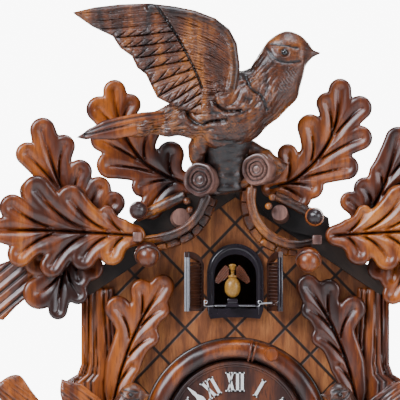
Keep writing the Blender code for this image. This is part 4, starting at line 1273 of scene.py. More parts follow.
        def relief(points: Array, inside: Array) -> tuple[Array, Array, Array]:
            x, z = points[:, 0] * self.mirror, points[:, 1]
            along, across = x * run - z * rise, x * rise + z * run
            cut, dark = gouges(across + 1.5 * np.sin(along * 0.07), along, 3.1, 34.0)
            fine, fine_dark = gouges(across * 1.1 - along * 0.16, along, 1.7, 15.0)
            height = 5.2 - 1.6 * cut - 0.8 * fine + 0.6 * np.sin(across * 0.4)
            height *= 0.6 + 0.4 * (1 - np.exp(-np.maximum(inside, 0) / 1.5))
            return np.maximum(height, 1.0), 0.0 * x, np.clip(0.9 * dark + 0.6 * fine_dark, 0, 1)

        return carve_outline(f"{self.name}_{word}_wing", outline, 0.6, relief, back)

    def eye(self) -> list[bmesh.types.BMesh]:
        """A dark bead on each side of the head."""
        beads = []
        for side in (-1, 1):
            bm = bmesh.new()
            bmesh.ops.create_uvsphere(bm, u_segments=20, v_segments=14, radius=2.6)
            bmesh.ops.translate(bm, vec=(38.2, BIRD_Y + side * 12.2, 296.0), verts=bm.verts)
            beads.append(bm)
        return beads

    def build(self, paints: Paints) -> None:
        """Makes the body, wings and eyes and sets them in place."""
        body = self.body_shape()
        self._seat(body)
        piece = place_mesh(f"{self.name}_body", body, 80.0)
        finish_piece(piece, paints, FEATHERED, self.node, "case")
        eyes = merge_shapes(self.eye())
        self._seat(eyes)
        finish_piece(place_mesh(f"{self.name}_eyes", eyes), paints, EYE, None, "case")
        tail = self.tail()
        self._reseat(tail)
        finish_piece(tail, paints, CARVED, self.node, "case")
        if self.scale < 1:
            for word, shape, slope, back in (
                ("near", self.NEAR, 38.0, -168.0), ("far", self.FAR, 40.0, -152.0)
            ):
                finish_piece(self.ribbed_wing(word, shape, slope, back), paints, CARVED, self.node, "case")
            return
        for label, back, thick in (("near", BIRD_Y - 15.0, 8.5), ("far", BIRD_Y + 20.0, 6.0)):
            wing = self.wing(back, thick)
            wing.name = f"{self.name}_{label}_wing"
            self._reseat(wing)
            node = self.wing_node if label == "near" and self.wing_node else self.node
            finish_piece(wing, paints, FEATHERED, node, "case")

    def _reseat(self, wing: bpy.types.Object) -> None:
        """Moves a finished wing to this bird's own place."""
        bm = bmesh.new()
        bm.from_mesh(wing.data)
        bmesh.ops.scale(bm, vec=[1 / MM] * 3, verts=bm.verts)
        bmesh.ops.translate(bm, vec=(0, 0, DIAL_DROP), verts=bm.verts)
        self._seat(bm)
        bmesh.ops.translate(bm, vec=(0, 0, -DIAL_DROP), verts=bm.verts)
        bmesh.ops.scale(bm, vec=[MM] * 3, verts=bm.verts)
        bm.to_mesh(wing.data)
        bm.free()


# --------------------------------------------------------------------------- branch, knots and acorns


@dataclass(frozen=True)
class Crown:
    """The branch under the bird: cut knots, scroll twigs, stem ends and acorns."""

    knots: tuple[tuple[float, float, float], ...] = ((-28.2, 196.7, 13.2), (16.0, 204.8, 12.2))
    front: float = -174.0

    def knot(self, x: float, z: float, radius: float) -> bmesh.types.BMesh:
        """A cut branch end with carved rings on its face, its bark showing on the right."""
        face = (
            (1.0, 19.5), (0.99, 21.6), (0.95, 22.8), (0.88, 23.0), (0.82, 22.0), (0.77, 20.9), (0.73, 20.6), (0.69, 20.9),
            (0.63, 21.8), (0.58, 22.3), (0.53, 22.0), (0.49, 20.6), (0.45, 20.8), (0.41, 22.2), (0.37, 22.6),
            (0.33, 22.0), (0.26, 20.8), (0.16, 20.7), (0.08, 21.6), (0.0, 21.8),
        )
        profile: list[Point] = [(0.0, -6.0), (radius * 0.93, -6.0), (radius * 0.96, 3.0), (radius, 11.0)]
        profile += [(radius * share, height) for share, height in face]
        bm = turned(profile, 56)
        layer = bm.verts.layers.float.new("stain_and_shade_mask")
        for vert in bm.verts:
            share = math.hypot(vert.co.x, vert.co.y) / radius
            cuts = sum(
                deep * math.exp(-(((share - at) / 0.035) ** 2)) for at,
                deep in ((0.73, 1.2), (0.49, 1.3), (0.27, 1.0))
            )
            angle = math.atan2(vert.co.y, vert.co.x)
            if 0.52 < share < 0.80:
                cuts += 0.35 * max(0.0, math.sin(angle * 23 + 4 * math.sin(angle * 3)))
            bark = 0.35 + 0.35 * math.sin(angle * 9 + vert.co.z)
            # The ring cuts on the face are darkened, partly staining and partly painted shade; the sides carry bark
            # stripes.
            vert[layer] = min(1.0, cuts) if vert.co.z > 19 else bark
            wobble = 1 + 0.07 * noise.noise(Vector((math.cos(angle), math.sin(angle), x)) * 1.7)
            wobble += 0.05 * noise.noise(Vector((vert.co.x, vert.co.y, vert.co.z)) * 0.35) * (vert.co.z < 20)
            vert.co.x *= wobble
            vert.co.y *= wobble
        face_front(bm, (0, 22.0, 0))
        bmesh.ops.rotate(bm, cent=(0, 0, 0), matrix=Matrix.Rotation(math.radians(-20), 3, "Z"), verts=bm.verts)
        bmesh.ops.translate(bm, vec=(x, self.front, z), verts=bm.verts)
        return bm

    def twigs(self) -> list[bmesh.types.BMesh]:
        """The branch itself, the scroll bands and the twigs that the leaves grow from."""
        def ridged(place: Array) -> float:
            return 0.5 * max(0.0, math.sin(place[1] * 5 + 3 * math.sin(place[0] * 9)))

        # Painted shade: the trunk, in the shadow under the bird's belly, is darkened nearly black all over.
        def dark(place: Array) -> float:
            return 0.8 + 0.2 * math.sin(place[1] * 9 + 3 * math.sin(place[0] * 17))

        shapes = [
            sweep(
                "branch", ((-26, -158, 190), (-10, -162, 190), (8, -162, 195), (26, -158, 203)), (7, 5, 5, 7),
                rough=1.2, stain_and_shade=ridged
            ),
            sweep(
                "twig_left", ((-38, -155, 185), (-58, -153, 176), (-78, -151, 166)), (4.9, 4.2, 3.6), rough=0.4,
                stain_and_shade=ridged
            ),
            sweep(
                "twig_right", ((30, -155, 185), (46, -153, 177), (63, -151, 168)), (4.2, 4.0, 3.6), rough=0.4,
                stain_and_shade=ridged
            ),
            *(sweep(
                f"berry{x}", ((x, -162, z - 2.6), (x, -163, z), (x, -162, z + 2.6)), (2.6, 3.0, 2.6), rings=16,
                blunt=0.45
            )
              for x, z in ((-38, 180), (-35.5, 173), (29, 183), (26, 176))),
            sweep(
                "trunk", ((-5, -158, 186), (-6, -158, 204), (-7, -160, 220), (-4, -166, 240)), (12, 16, 19, 20),
                rough=0.9, stain_and_shade=dark
            ),
            sweep(
                "limb", ((4, -163, 224), (16, -162, 219), (29, -160, 210), (36, -158, 203)), (7, 6.5, 6.5, 7.5),
                rough=1.0, stain_and_shade=ridged
            ),
            sweep(
                "left_leg", ((-22, -174, 236), (-28, -171, 225), (-30, -167, 215), (-27, -162, 205)),
                (10, 8.5, 6.0, 6), rough=1.0, stain_and_shade=ridged
            ),
        ]
        for name, path in (
            (
                "scroll_left",
                (
                    (-22, -166, 186), (-25, -166, 178), (-30, -165, 168), (-39, -163, 159), (-52, -160, 153),
                    (-66, -157, 150), (-76, -156, 149)
                )
            ),
            (
                "scroll_right",
                (
                    (13, -166, 192), (12, -166, 180), (16, -164, 166), (26, -161, 154), (40, -158, 147),
                    (52, -157, 146), (64, -156, 149)
                )
            ),
        ):
            shapes.append(sweep(name, path, (4.3, 4.0, 3.7, 3.7, 3.6, 3.4, 3.2), flatten=0.7, rough=0.3))
            ridge = [(x, y - 2.6, z + 1.6) for x, y, z in path]
            shapes.append(sweep(name + "_ridge", ridge, (1.0, 1.2, 1.2, 1.2, 1.0, 0.9, 0.8), sides=10))
            side = -1 if path[0][0] < 0 else 1
            inner = np.array([
                (x - side * 4.6 + (side * 1.5 if k > 3 else 0), y + 5, z - 3.0 - 0.8 * k) for k,
                (x, y, z) in enumerate(path[:6])
            ])
            curve = smooth_path(inner, 43)
            for k in range(7):
                piece = curve[k * 6:k * 6 + 8].copy()
                piece[:, 1] += 1.4 * (k % 2)
                shapes.append(sweep(
                    f"{name}_facet{k}", piece, (4.3 - 0.15 * k, 4.5 - 0.2 * k, 4.1 - 0.2 * k), sides=5, rings=8,
                    blunt=0.1
                ))
        return shapes

    def backing(self) -> bmesh.types.BMesh:
        """The dark board behind the twigs."""
        outline = (
            (-84, 149), (-80, 164), (-58, 176), (-36, 187), (-16, 196), (6, 198), (30, 194), (46, 183), (73, 167),
            (76, 149), (44, 156), (30, 163), (18, 178), (0, 186), (-20, 180), (-38, 163), (-60, 154),
        )
        bm = bmesh.new()
        front = bm.faces.new([bm.verts.new((x, -146, z)) for x, z in outline])
        back = bmesh.ops.extrude_face_region(bm, geom=[front], use_keep_orig=True)["geom"]
        bmesh.ops.translate(
            bm, vec=(0, 5.5, 0), verts=[part for part in back if isinstance(part, bmesh.types.BMVert)]
        )
        return bm

    def acorns(self) -> tuple[list[bmesh.types.BMesh], list[bmesh.types.BMesh]]:
        """The cups and the nuts."""
        cups, nuts = [], []
        for x, y, z, radius, tip in (
            (-68.8, -164, 137.6, 8.6, (0.1, -0.75, -0.65)), (57.0, -164, 133.6, 8.6, (-0.1, -0.75, -0.65)),
            (-76.0, -160, 172.8, 6.2, (-0.15, -0.95, 0.25)), (62.0, -160, 167.7, 6.2, (0.15, -0.95, 0.25)),
        ):
            ahead = Vector(tip).normalized()
            turn = ahead.to_track_quat("Z", "Y").to_matrix()
            nut = turned(
                [
                    (0, -radius), (radius * 0.8, -radius * 0.6), (radius, 0.0), (radius * 0.88, radius * 0.6),
                    (radius * 0.5, radius * 1.02), (radius * 0.12, radius * 1.2), (0, radius * 1.3)
                ],
                32
            )
            bmesh.ops.subdivide_edges(nut, edges=nut.edges[:], cuts=1, use_grid_fill=True, smooth=1.0)
            cup = turned(
                [
                    (0, -radius * 1.25), (radius * 0.75, -radius * 1.0), (radius * 1.14, -radius * 0.35),
                    (radius * 1.2, radius * 0.05), (radius * 1.06, radius * 0.16),
                    (radius * 0.9, -radius * 0.1), (0, -radius * 0.2)
                ],
                40
            )
            bmesh.ops.subdivide_edges(cup, edges=cup.edges[:], cuts=1, use_grid_fill=True, smooth=0.6)
            layer = cup.verts.layers.float.new("stain_and_shade_mask")
            for vert in cup.verts:
                turns = math.atan2(vert.co.y, vert.co.x) * 7
                rows = vert.co.z / radius * 7
                vert[layer] = 0.55 * max(0.0, math.sin(turns + rows) * math.sin(turns - rows))
            for shape, kept in ((nut, nuts), (cup, cups)):
                bmesh.ops.rotate(shape, cent=(0, 0, 0), matrix=turn, verts=shape.verts)
                bmesh.ops.translate(shape, vec=(x, y, z), verts=shape.verts)
                kept.append(shape)
        return cups, nuts

    def build(self, paints: Paints) -> None:
        """Makes the crown's woodwork."""
        knots = merge_shapes([self.knot(*knot) for knot in self.knots])
        finish_piece(place_mesh("cut_knots", knots, 50.0), paints, KNOT, "crown_branch", "case")
        finish_piece(
            place_mesh("crown_twigs", merge_shapes(self.twigs()), 60.0), paints, FEATHERED, "crown_branch",
            "case"
        )
        finish_piece(place_mesh("crown_backing", self.backing()), paints, ROOF, "crown_branch", "case")
        pegs = [
            sweep(
                "peg_left", ((-44, -146, 166), (-43, -154, 167), (-42.5, -161, 167.5)), (7.4, 7.2, 7.0),
                rings=24, blunt=0.06
            ),
            sweep(
                "peg_right", ((36, -146, 168), (35, -153, 170), (34.5, -159, 171)), (6.8, 6.6, 6.4), rings=24,
                blunt=0.06
            ),
            block(
                (-80.3, -171, 148.2), (-73.2, -152, 155.8), 1.2
            ), block((60.2, -169, 146.0), (67.6, -152, 153.4), 1.2),
        ]
        finish_piece(place_mesh("crown_pegs", merge_shapes(pegs)), paints, KNOT, "crown_branch", "case")
        cups, nuts = self.acorns()
        finish_piece(place_mesh("acorn_cups", merge_shapes(cups)), paints, CARVED, None, "case")
        finish_piece(place_mesh("front_acorn_nuts", merge_shapes(nuts[:2])), paints, WARM, None, "case")
        finish_piece(place_mesh("twig_acorn_nuts", merge_shapes(nuts[2:])), paints, NUT_DARK, None, "case")


# --------------------------------------------------------------------------- case


@dataclass(frozen=True)
class CaseShell:
    """The case's boards and the carved posts."""

    post_back: float = -130.6
    post_thick: float = 8.0
    boards: tuple[str, ...] = ("back_board", "rear_cover", "left_side", "right_side", "case_floor")

    def post(self, side: float) -> bpy.types.Object:
        """One fluted post beside the front board."""
        inner = np.array(((96, 112), (92, 50), (86, 22), (84, -10), (86, -60), (92, -100)), dtype=float)
        outer = np.array(
            ((121, 112), (121, 52), (124, 44), (134, 38), (137, 20), (136, -20), (128, -70), (118, -100)),
            dtype=float
        )
        outline = np.vstack([inner, outer[::-1]]) * (side, 1)

        def relief(points: Array, inside: Array) -> tuple[Array, Array, Array]:
            x, z = points[:, 0] * side, points[:, 1]
            near = np.interp(z, inner[::-1, 1], inner[::-1, 0])
            far = np.interp(z, outer[::-1, 1], outer[::-1, 0])
            share = np.clip((x - near) / (far - near), 0, 1)
            height = self.post_thick * (0.72 + 0.28 * np.sin(share * math.pi))
            # The flutes are darkened in the cuts: staining and painted shade.
            stain_and_shade = np.zeros(len(points))
            for place, wide, deep in (
                (0.80, 0.030, 3.2), (0.90, 0.025, 2.2), (0.62, 0.030, 1.8), (0.54, 0.022, 1.6),
                (0.30, 0.035, 2.2), (0.16, 0.03, 1.6)
            ):
                drift = place + 0.03 * np.sin(z * 0.035 + place * 9)
                cut = np.exp(-(((share - drift) / wide) ** 2))
                height -= deep * cut
                stain_and_shade += 0.85 * cut
            height *= 1 - 0.35 * np.exp(-np.maximum(inside, 0) / 1.5)
            return np.maximum(height, 1.0), 0.0 * x, np.clip(stain_and_shade, 0, 1)

        name = "left_post_fluting" if side < 0 else "right_post_fluting"
        return carve_outline(name, outline, 1.0, relief, self.post_back)

    def batten(self, side: float) -> bmesh.types.BMesh:
        """A dark strip in the corner between the roof and the front board."""
        bm = block((0, -117.5, -10.0), (140.0, -108.0, 0), 0.4)
        bmesh.ops.rotate(
            bm, cent=(0, 0, 0), matrix=Matrix.Rotation(math.radians(ROOF_SLOPE), 3, "Y"), verts=bm.verts
        )
        bmesh.ops.translate(bm, vec=(0, 0, 183.3), verts=bm.verts)
        bmesh.ops.scale(bm, vec=(side, 1, 1), verts=bm.verts)
        return bm

    def apron(self) -> bpy.types.Object:
        """The scrolled board under the dial."""
        outline = np.array(
            (
                (-76, -76), (-40, -82), (0, -78), (40, -82), (76, -76), (84, -103), (60, -122), (30, -118),
                (0, -132), (-30, -118), (-60, -122), (-84, -103)
            ),
            dtype=float
        )

        def relief(points: Array, inside: Array) -> tuple[Array, Array, Array]:
            height = 4.0 + 2.6 * (1 - np.exp(-np.maximum(inside, 0) / 4.0))
            groove = np.exp(-(((inside - 5.0) / 1.0) ** 2))
            # The groove is darkened: staining and painted shade.
            return height - 1.6 * groove, 0.0 * inside, 0.8 * groove

        return carve_outline("apron", outline, 1.1, relief, self.post_back)

    def build(self, paints: Paints, shown: dict[str, bpy.types.Object]) -> None:
        """Finishes the boards and carves the posts and the apron."""
        paints.dress(self.boards, CASE, shown)
        paints.dress(("front_panel",), LATTICE_BOARD, shown)
        paints.dress(("left_roof", "right_roof"), ROOF, shown)
        for side, node in ((-1.0, "left_post"), (1.0, "right_post")):
            finish_piece(self.post(side), paints, POST, node, "case")
        finish_piece(self.apron(), paints, CARVED, "bottom_carving", "case")
        finish_piece(
            place_mesh("roof_battens", merge_shapes([self.batten(-1.0), self.batten(1.0)])), paints, ROOF, None,
            "case"
        )


# --------------------------------------------------------------------------- dial


@dataclass(frozen=True)
class Dial:
    """The branch-like ring, the wooden dial, its numerals and the hands."""

    back: float = -130.6
    numeral_radius: float = 38.0
    numeral_high: float = 15.2
    stem: float = 2.5
    numerals: tuple[str, ...] = ("XII", "I", "II", "III", "IIII", "V", "VI", "VII", "VIII", "IX", "X", "XI")

    def ring(self) -> bmesh.types.BMesh:
        """The ring: a fat half-round between a dark cove on each side."""
        profile: list[Point] = [(55.4, 0.0), (73.0, 0.0), (73.2, 2.4), (72.4, 3.6)]
        for k in range(19):
            a = math.radians(-6 + 192 * k / 18)
            profile.append((64.0 + 7.6 * math.cos(a), 4.6 + 8.2 * math.sin(a)))
        profile += [(56.0, 3.0), (55.4, 2.6)]
        bm = turned(profile, 144)
        layer = bm.verts.layers.float.new("stain_and_shade_mask")
        for vert in bm.verts:
            reach = math.hypot(vert.co.x, vert.co.y)
            angle = math.atan2(vert.co.y, vert.co.x)
            # Painted shade: the half-round's outer and inner flanks, which turn away from the front, are darkened.
            outer, inner = max(0.0, (reach - 70.2) / 2.4), max(0.0, (59.6 - reach) / 2.6)
            vert[layer] = min(0.85, outer) + min(0.95, inner)
            wave = 0.35 * noise.noise(Vector((reach * 0.2, angle * 6.0, 1.0)))
            vert.co.z += wave if vert.co.z > 1 else 0.0
        return face_front(bm, (0, self.back, 0))

    def twig(self) -> list[bmesh.types.BMesh]:
        """The collar and the small cut twig on the ring."""
        shapes = []
        for a0, a1, radius in ((80.5, 78.3, 6.2), (77.3, 75.4, 5.8)):
            path = [
                (63.4 * math.cos(math.radians(a)), self.back - 8.6, 63.4 * math.sin(math.radians(a)))
                for a in np.linspace(a0, a1, 5)
            ]
            shapes.append(sweep(
                f"collar{a0}", path, (radius + 2.2, radius + 2.7, radius + 2.2), rings=14, blunt=0.25, rough=0.3
            ))
        knob = turned(
            [
                (0, 0), (5.4, 0), (5.8, 5.0), (5.4, 7.5), (4.9, 8.0), (4.3, 7.2), (3.0, 6.9), (1.5, 6.8),
                (0, 6.8)
            ],
            28
        )
        shapes.append(face_front(knob, (28.4, self.back - 10.5, 59.7)))
        return shapes

    def stroke(self, start: Point, end: Point, wide: float) -> bmesh.types.BMesh:
        """One bar of a numeral, flat ended at top and bottom."""
        bm = block((-0.5, 0, -0.5), (0.5, 1.1, 0.5))
        for vert in bm.verts:
            top = vert.co.z > 0
            middle = end if top else start
            vert.co = (middle[0] + vert.co.x * wide, vert.co.y, middle[1])
        return bm

    def numeral(self, word: str) -> bmesh.types.BMesh:
        """A Roman numeral standing upright about its own middle."""
        half = self.numeral_high / 2
        widths = {"I": 4.4, "V": 8.4, "X": 8.6}
        squeeze = min(0.92, 14.8 / sum(widths[c] for c in word))
        shapes = []
        x = -sum(widths[c] for c in word) * squeeze / 2
        for letter in word:
            wide = widths[letter] * squeeze
            middle = x + wide / 2
            thick, thin = self.stem * (0.55 + 0.45 * squeeze), 1.15
            feet: list[float] = []
            if letter == "I":
                shapes.append(self.stroke((middle, -half), (middle, half), thick))
                feet = [middle]
            elif letter == "V":
                shapes.append(self.stroke((middle + 0.4, -half), (middle - wide * 0.3, half), thick))
                shapes.append(self.stroke((middle + 0.4, -half), (middle + wide * 0.3, half), thin))
            else:
                shapes.append(self.stroke((middle + wide * 0.3, -half), (middle - wide * 0.3, half), thick))
                shapes.append(self.stroke((middle - wide * 0.3, -half), (middle + wide * 0.3, half), thin))
                feet = [middle - wide * 0.3, middle + wide * 0.3]
            serif = 1.9 * (0.6 + 0.4 * squeeze)
            tops = feet if letter == "I" else [middle - wide * 0.3, middle + wide * 0.3]
            for places, level in ((feet, -half + 0.55), (tops, half - 0.55)):
                for place in places:
                    shapes.append(block((place - serif, 0, level - 0.55), (place + serif, 1.1, level + 0.55)))
            x += wide
        return merge_shapes(shapes)

    def numerals_shape(self) -> bmesh.types.BMesh:
        """All twelve numerals round the dial, their feet towards its centre."""
        shapes = []
        for hour, word in enumerate(self.numerals):
            bm = self.numeral(word)
            angle = math.tau * hour / 12
            bmesh.ops.translate(bm, vec=(0, 0, self.numeral_radius), verts=bm.verts)
            bmesh.ops.rotate(bm, cent=(0, 0, 0), matrix=Matrix.Rotation(angle, 3, "Y"), verts=bm.verts)
            bmesh.ops.translate(bm, vec=(0, self.back - 5.0, 0), verts=bm.verts)
            shapes.append(bm)
        return merge_shapes(shapes)

    def hand(self, length: float, boss: float, angle: float, front: float, thick: float) -> bmesh.types.BMesh:
        """A carved hand with leaf-shaped swellings and cut notches."""
        half = [
            (1.2, 0.16), (1.0, 0.30), (2.0, 0.36), (1.3, 0.40), (3.6, 0.47), (3.2, 0.52), (1.4, 0.60),
            (2.6, 0.66), (2.9, 0.71), (1.2, 0.80), (1.5, 0.84), (0.7, 0.93)
        ]
        right = np.array([(x, length * z) for x, z in half] + [(0.0, length)])
        outline = np.vstack([right, right[-2::-1] * (-1, 1)])

        def depth(points: Array) -> Array:
            ring = boss - np.hypot(*points.T)
            hole = 1.75 - np.hypot(*points.T)
            return np.minimum(np.maximum(polygon_depth(points, outline), ring), -hole)

        def relief(points: Array, inside: Array) -> tuple[Array, Array, Array]:
            height = thick * (0.55 + 0.45 * (1 - np.exp(-np.maximum(inside, 0) / 0.8)))
            return height, 0.0 * inside, 0.0 * inside

        made = carve_board("hand", (-boss - 1, -boss - 1), (boss + 1, length + 1), 0.35, depth, relief, 0.0)
        bm = bmesh.new()
        bm.from_mesh(made.data)
        bpy.data.objects.remove(made, do_unlink=True)
        bmesh.ops.scale(bm, vec=[1 / MM] * 3, verts=bm.verts)
        bmesh.ops.translate(bm, vec=(0, front + thick, DIAL_DROP), verts=bm.verts)
        bmesh.ops.rotate(
            bm, cent=(0, 0, 0), matrix=Matrix.Rotation(math.radians(angle), 3, "Y"), verts=bm.verts
        )
        return bm

    def build(self, paints: Paints, shown: dict[str, bpy.types.Object]) -> None:
        """Makes the ring, numerals and hands."""
        paints.dress(("dial",), DIAL_WOOD, shown)
        finish_piece(place_mesh("ring", self.ring(), 70.0), paints, CARVED, "dial_ring", "case")
        finish_piece(place_mesh("ring_twig", merge_shapes(self.twig())), paints, CARVED, None, "case")
        finish_piece(place_mesh("numerals", self.numerals_shape(), 20.0), paints, WHITE, None, "case")
        bead = [
            (50.0, 0.0), (54.6, 0.0), (54.4, 1.0), (53.6, 1.7), (52.6, 1.9), (51.8, 1.6), (51.4, 0.9),
            (50.9, 1.3), (50.2, 1.1)
        ]
        rim = place_mesh("dial_bead", face_front(turned(bead, 128), (0, self.back - 3.8, 0)))
        finish_piece(rim, paints, DIAL_WOOD, None, "case")
        finish_piece(
            place_mesh("carved_minute_hand", self.hand(51.5, 5.0, -48.0, -144.6, 1.6), 50.0), paints, WHITE,
            "minute_hand", "minute_arbor"
        )
        finish_piece(
            place_mesh("carved_hour_hand", self.hand(34.5, 6.5, 56.0, -141.0, 1.6), 50.0), paints, WHITE,
            "hour_hand", "hour_pipe"
        )


# --------------------------------------------------------------------------- the cuckoo's window


@dataclass(frozen=True)
class Window:
    """The window's frame, its louvred doors and their wire."""

    hinge_x: float = 24.6
    hinge_y: float = -138.9
    wide: float = 24.2
    thick: float = 3.4
    low: float = 93.6
    high: float = 140.4
    opened: tuple[float, float] = (120.0, 112.0)

    def door(self, side: float, opened: float) -> bmesh.types.BMesh:
        """A door: a frame with an arched top that holds slats, turned open about its hinge."""
        rim, w, t = 3.2, self.wide, self.thick
        shapes = [
            block((0, -t, self.low), (rim, 0, self.high - 9), 0.35),
            block((0.4, -t, self.low), (w - 0.4, 0, self.low + rim), 0.35),
            block((1, -t * 0.62, self.low + 1), (w - 1, -t * 0.38, self.high - 11), 0.0),
        ]
        steps = 8
        for k in range(steps):
            a, b = k / steps, (k + 1) / steps
            heights = [self.high - 12 + 12 * math.sqrt(1 - (1 - s) ** 2 * 0.98) for s in (a, b)]
            piece = block((w * a, -t, heights[0] - 4.5), (w * b + 0.05, 0, heights[0]), 0.0)
            for vert in piece.verts:
                if vert.co.x > w * (a + b) / 2:
                    vert.co.z += heights[1] - heights[0]
            shapes.append(piece)
        slats = 13
        for k in range(slats):
            z = self.low + rim + 1.4 + (self.high - self.low - rim - 8) * k / slats
            top = self.high - 12 + 12 * math.sqrt(max(0.0, 1 - 0.98 * 0.4)) - 3
            if z > top:
                continue
            slat = block((rim * 0.7, -t * 0.95, -0.45), (w - rim * 0.7, -t * 0.05, 0.45), 0.12)
            bmesh.ops.rotate(
                slat, cent=(0, -t / 2, 0), matrix=Matrix.Rotation(math.radians(30), 3, "X"), verts=slat.verts
            )
            bmesh.ops.translate(slat, vec=(0, 0, z), verts=slat.verts)
            shapes.append(slat)
        return self.swing(merge_shapes(shapes), side, opened)

    def door_edge(self, side: float, opened: float) -> bmesh.types.BMesh:
        """The double strip along the door's free edge; the left door's is painted pale as a painted highlight."""
        w, t = self.wide, self.thick
        strips = [
            block((w - 2.4, -t - 0.5, self.low), (w, -t * 0.58, self.high - 0.6), 0.25),
            block((w - 2.4, -t * 0.42, self.low), (w, 0, self.high - 0.6), 0.25),
        ]
        return self.swing(merge_shapes(strips), side, opened)

    def swing(self, bm: bmesh.types.BMesh, side: float, opened: float) -> bmesh.types.BMesh:
        """Turns a door's shape open about its hinge and sets it in place."""
        if side < 0:
            bmesh.ops.scale(bm, vec=(-1, 1, 1), verts=bm.verts)
        bmesh.ops.rotate(
            bm, cent=(0, 0, 0), matrix=Matrix.Rotation(math.radians(-side * opened), 3, "Z"), verts=bm.verts
        )
        bmesh.ops.translate(bm, vec=(-side * self.hinge_x, self.hinge_y, 0), verts=bm.verts)
        return bm

    def frame_moulding(self) -> bmesh.types.BMesh:
        """A rounded moulding round the opening, over the plain frame."""
        arch = [(-19.4, -133.6, 95.0), (-19.4, -133.6, 108.0), (-19.4, -133.6, 121.0)]
        arch += [
            (19.4 * math.cos(a), -133.6, 122.8 + 20.6 * math.sin(a))
            for a in np.linspace(math.pi * 0.94, math.pi * 0.06, 13)
        ]
        arch += [(19.4, -133.6, 121.0), (19.4, -133.6, 108.0), (19.4, -133.6, 95.0)]
        return sweep("moulding", arch, (2.9, 2.9, 2.9), sides=20, rings=120, flatten=1.05, blunt=0.008)

    def wires(self) -> list[bmesh.types.BMesh]:
        """The fixed hooks at the sill's ends, with their loops and the pin."""
        y = -149.6
        shapes = []
        for name, path in (
            ("left", ((-24.0, y, 100.6), (-24.4, y, 98.2), (-22.5, y, 97.6), (-16.8, y, 97.8))),
            ("right", ((19.0, y, 100.0), (18.9, y, 98.2), (18.2, y, 97.6), (16.8, y, 97.7))),
        ):
            shapes.append(sweep(name, path, (0.3, 0.3, 0.3), sides=8, rings=40))
        for x, z in ((-23.2, 101.0), (19.2, 100.6)):
            loop = [
                (x + 1.3 * math.cos(a), y, z + 1.3 * math.sin(a)) for a in np.linspace(0, math.tau * 0.93, 12)
            ]
            shapes.append(sweep(f"loop{x}", loop, (0.32, 0.32), sides=8, rings=36))
        shapes.append(sweep(
            "pin", ((19.6, y, 99.6), (24.0, y, 99.9), (29.5, y, 100.2)), (0.75, 0.75), sides=10, rings=16
        ))
        return shapes

    def build(self, paints: Paints, shown: dict[str, bpy.types.Object]) -> None:
        """Makes the window."""
        paints.dress(("window_frame",), TRIM, shown)
        finish_piece(place_mesh("window_moulding", self.frame_moulding()), paints, TRIM, None, "case")
        for side, opened, word in ((1.0, self.opened[0], "left"), (-1.0, self.opened[1], "right")):
            door = place_mesh(f"{word}_louvred_door", self.door(side, opened), 30.0)
            finish_piece(door, paints, DOOR_WOOD, f"{word}_door", f"{word}_door")
            edge = place_mesh(f"{word}_door_edge", self.door_edge(side, opened), 30.0)
            # Painted light: the left door's edge strip is pale grey as a painted highlight, the right door's is the
            # dark trim as painted shade.
            shade = PAINTED_HIGHLIGHT_EDGE if side > 0 else TRIM
            finish_piece(edge, paints, shade, f"{word}_door", f"{word}_door")
        finish_piece(place_mesh("door_hooks", merge_shapes(self.wires())), paints, STEEL, None, "case")
        stems = [
            sweep(
                "stem", ((x, -134.6, 91.4), (x, -147, 91.4), (x, -149.6, 93.0), (x, -149.6, 97.5)),
                (0.35, 0.35), sides=8, rings=30
            )
            for x in (-21.0, 18.4)
        ]
        finish_piece(place_mesh("hook_stems", merge_shapes(stems)), paints, TRIM, None, "case")
        cross = sweep(
            "cross", ((-16.4, -149.6, 97.8), (0.0, -149.6, 97.9), (16.4, -149.6, 97.7)), (0.3, 0.3), sides=8,
            rings=30
        )
        finish_piece(place_mesh("cross_wire", cross), paints, STEEL, None, "cuckoo")


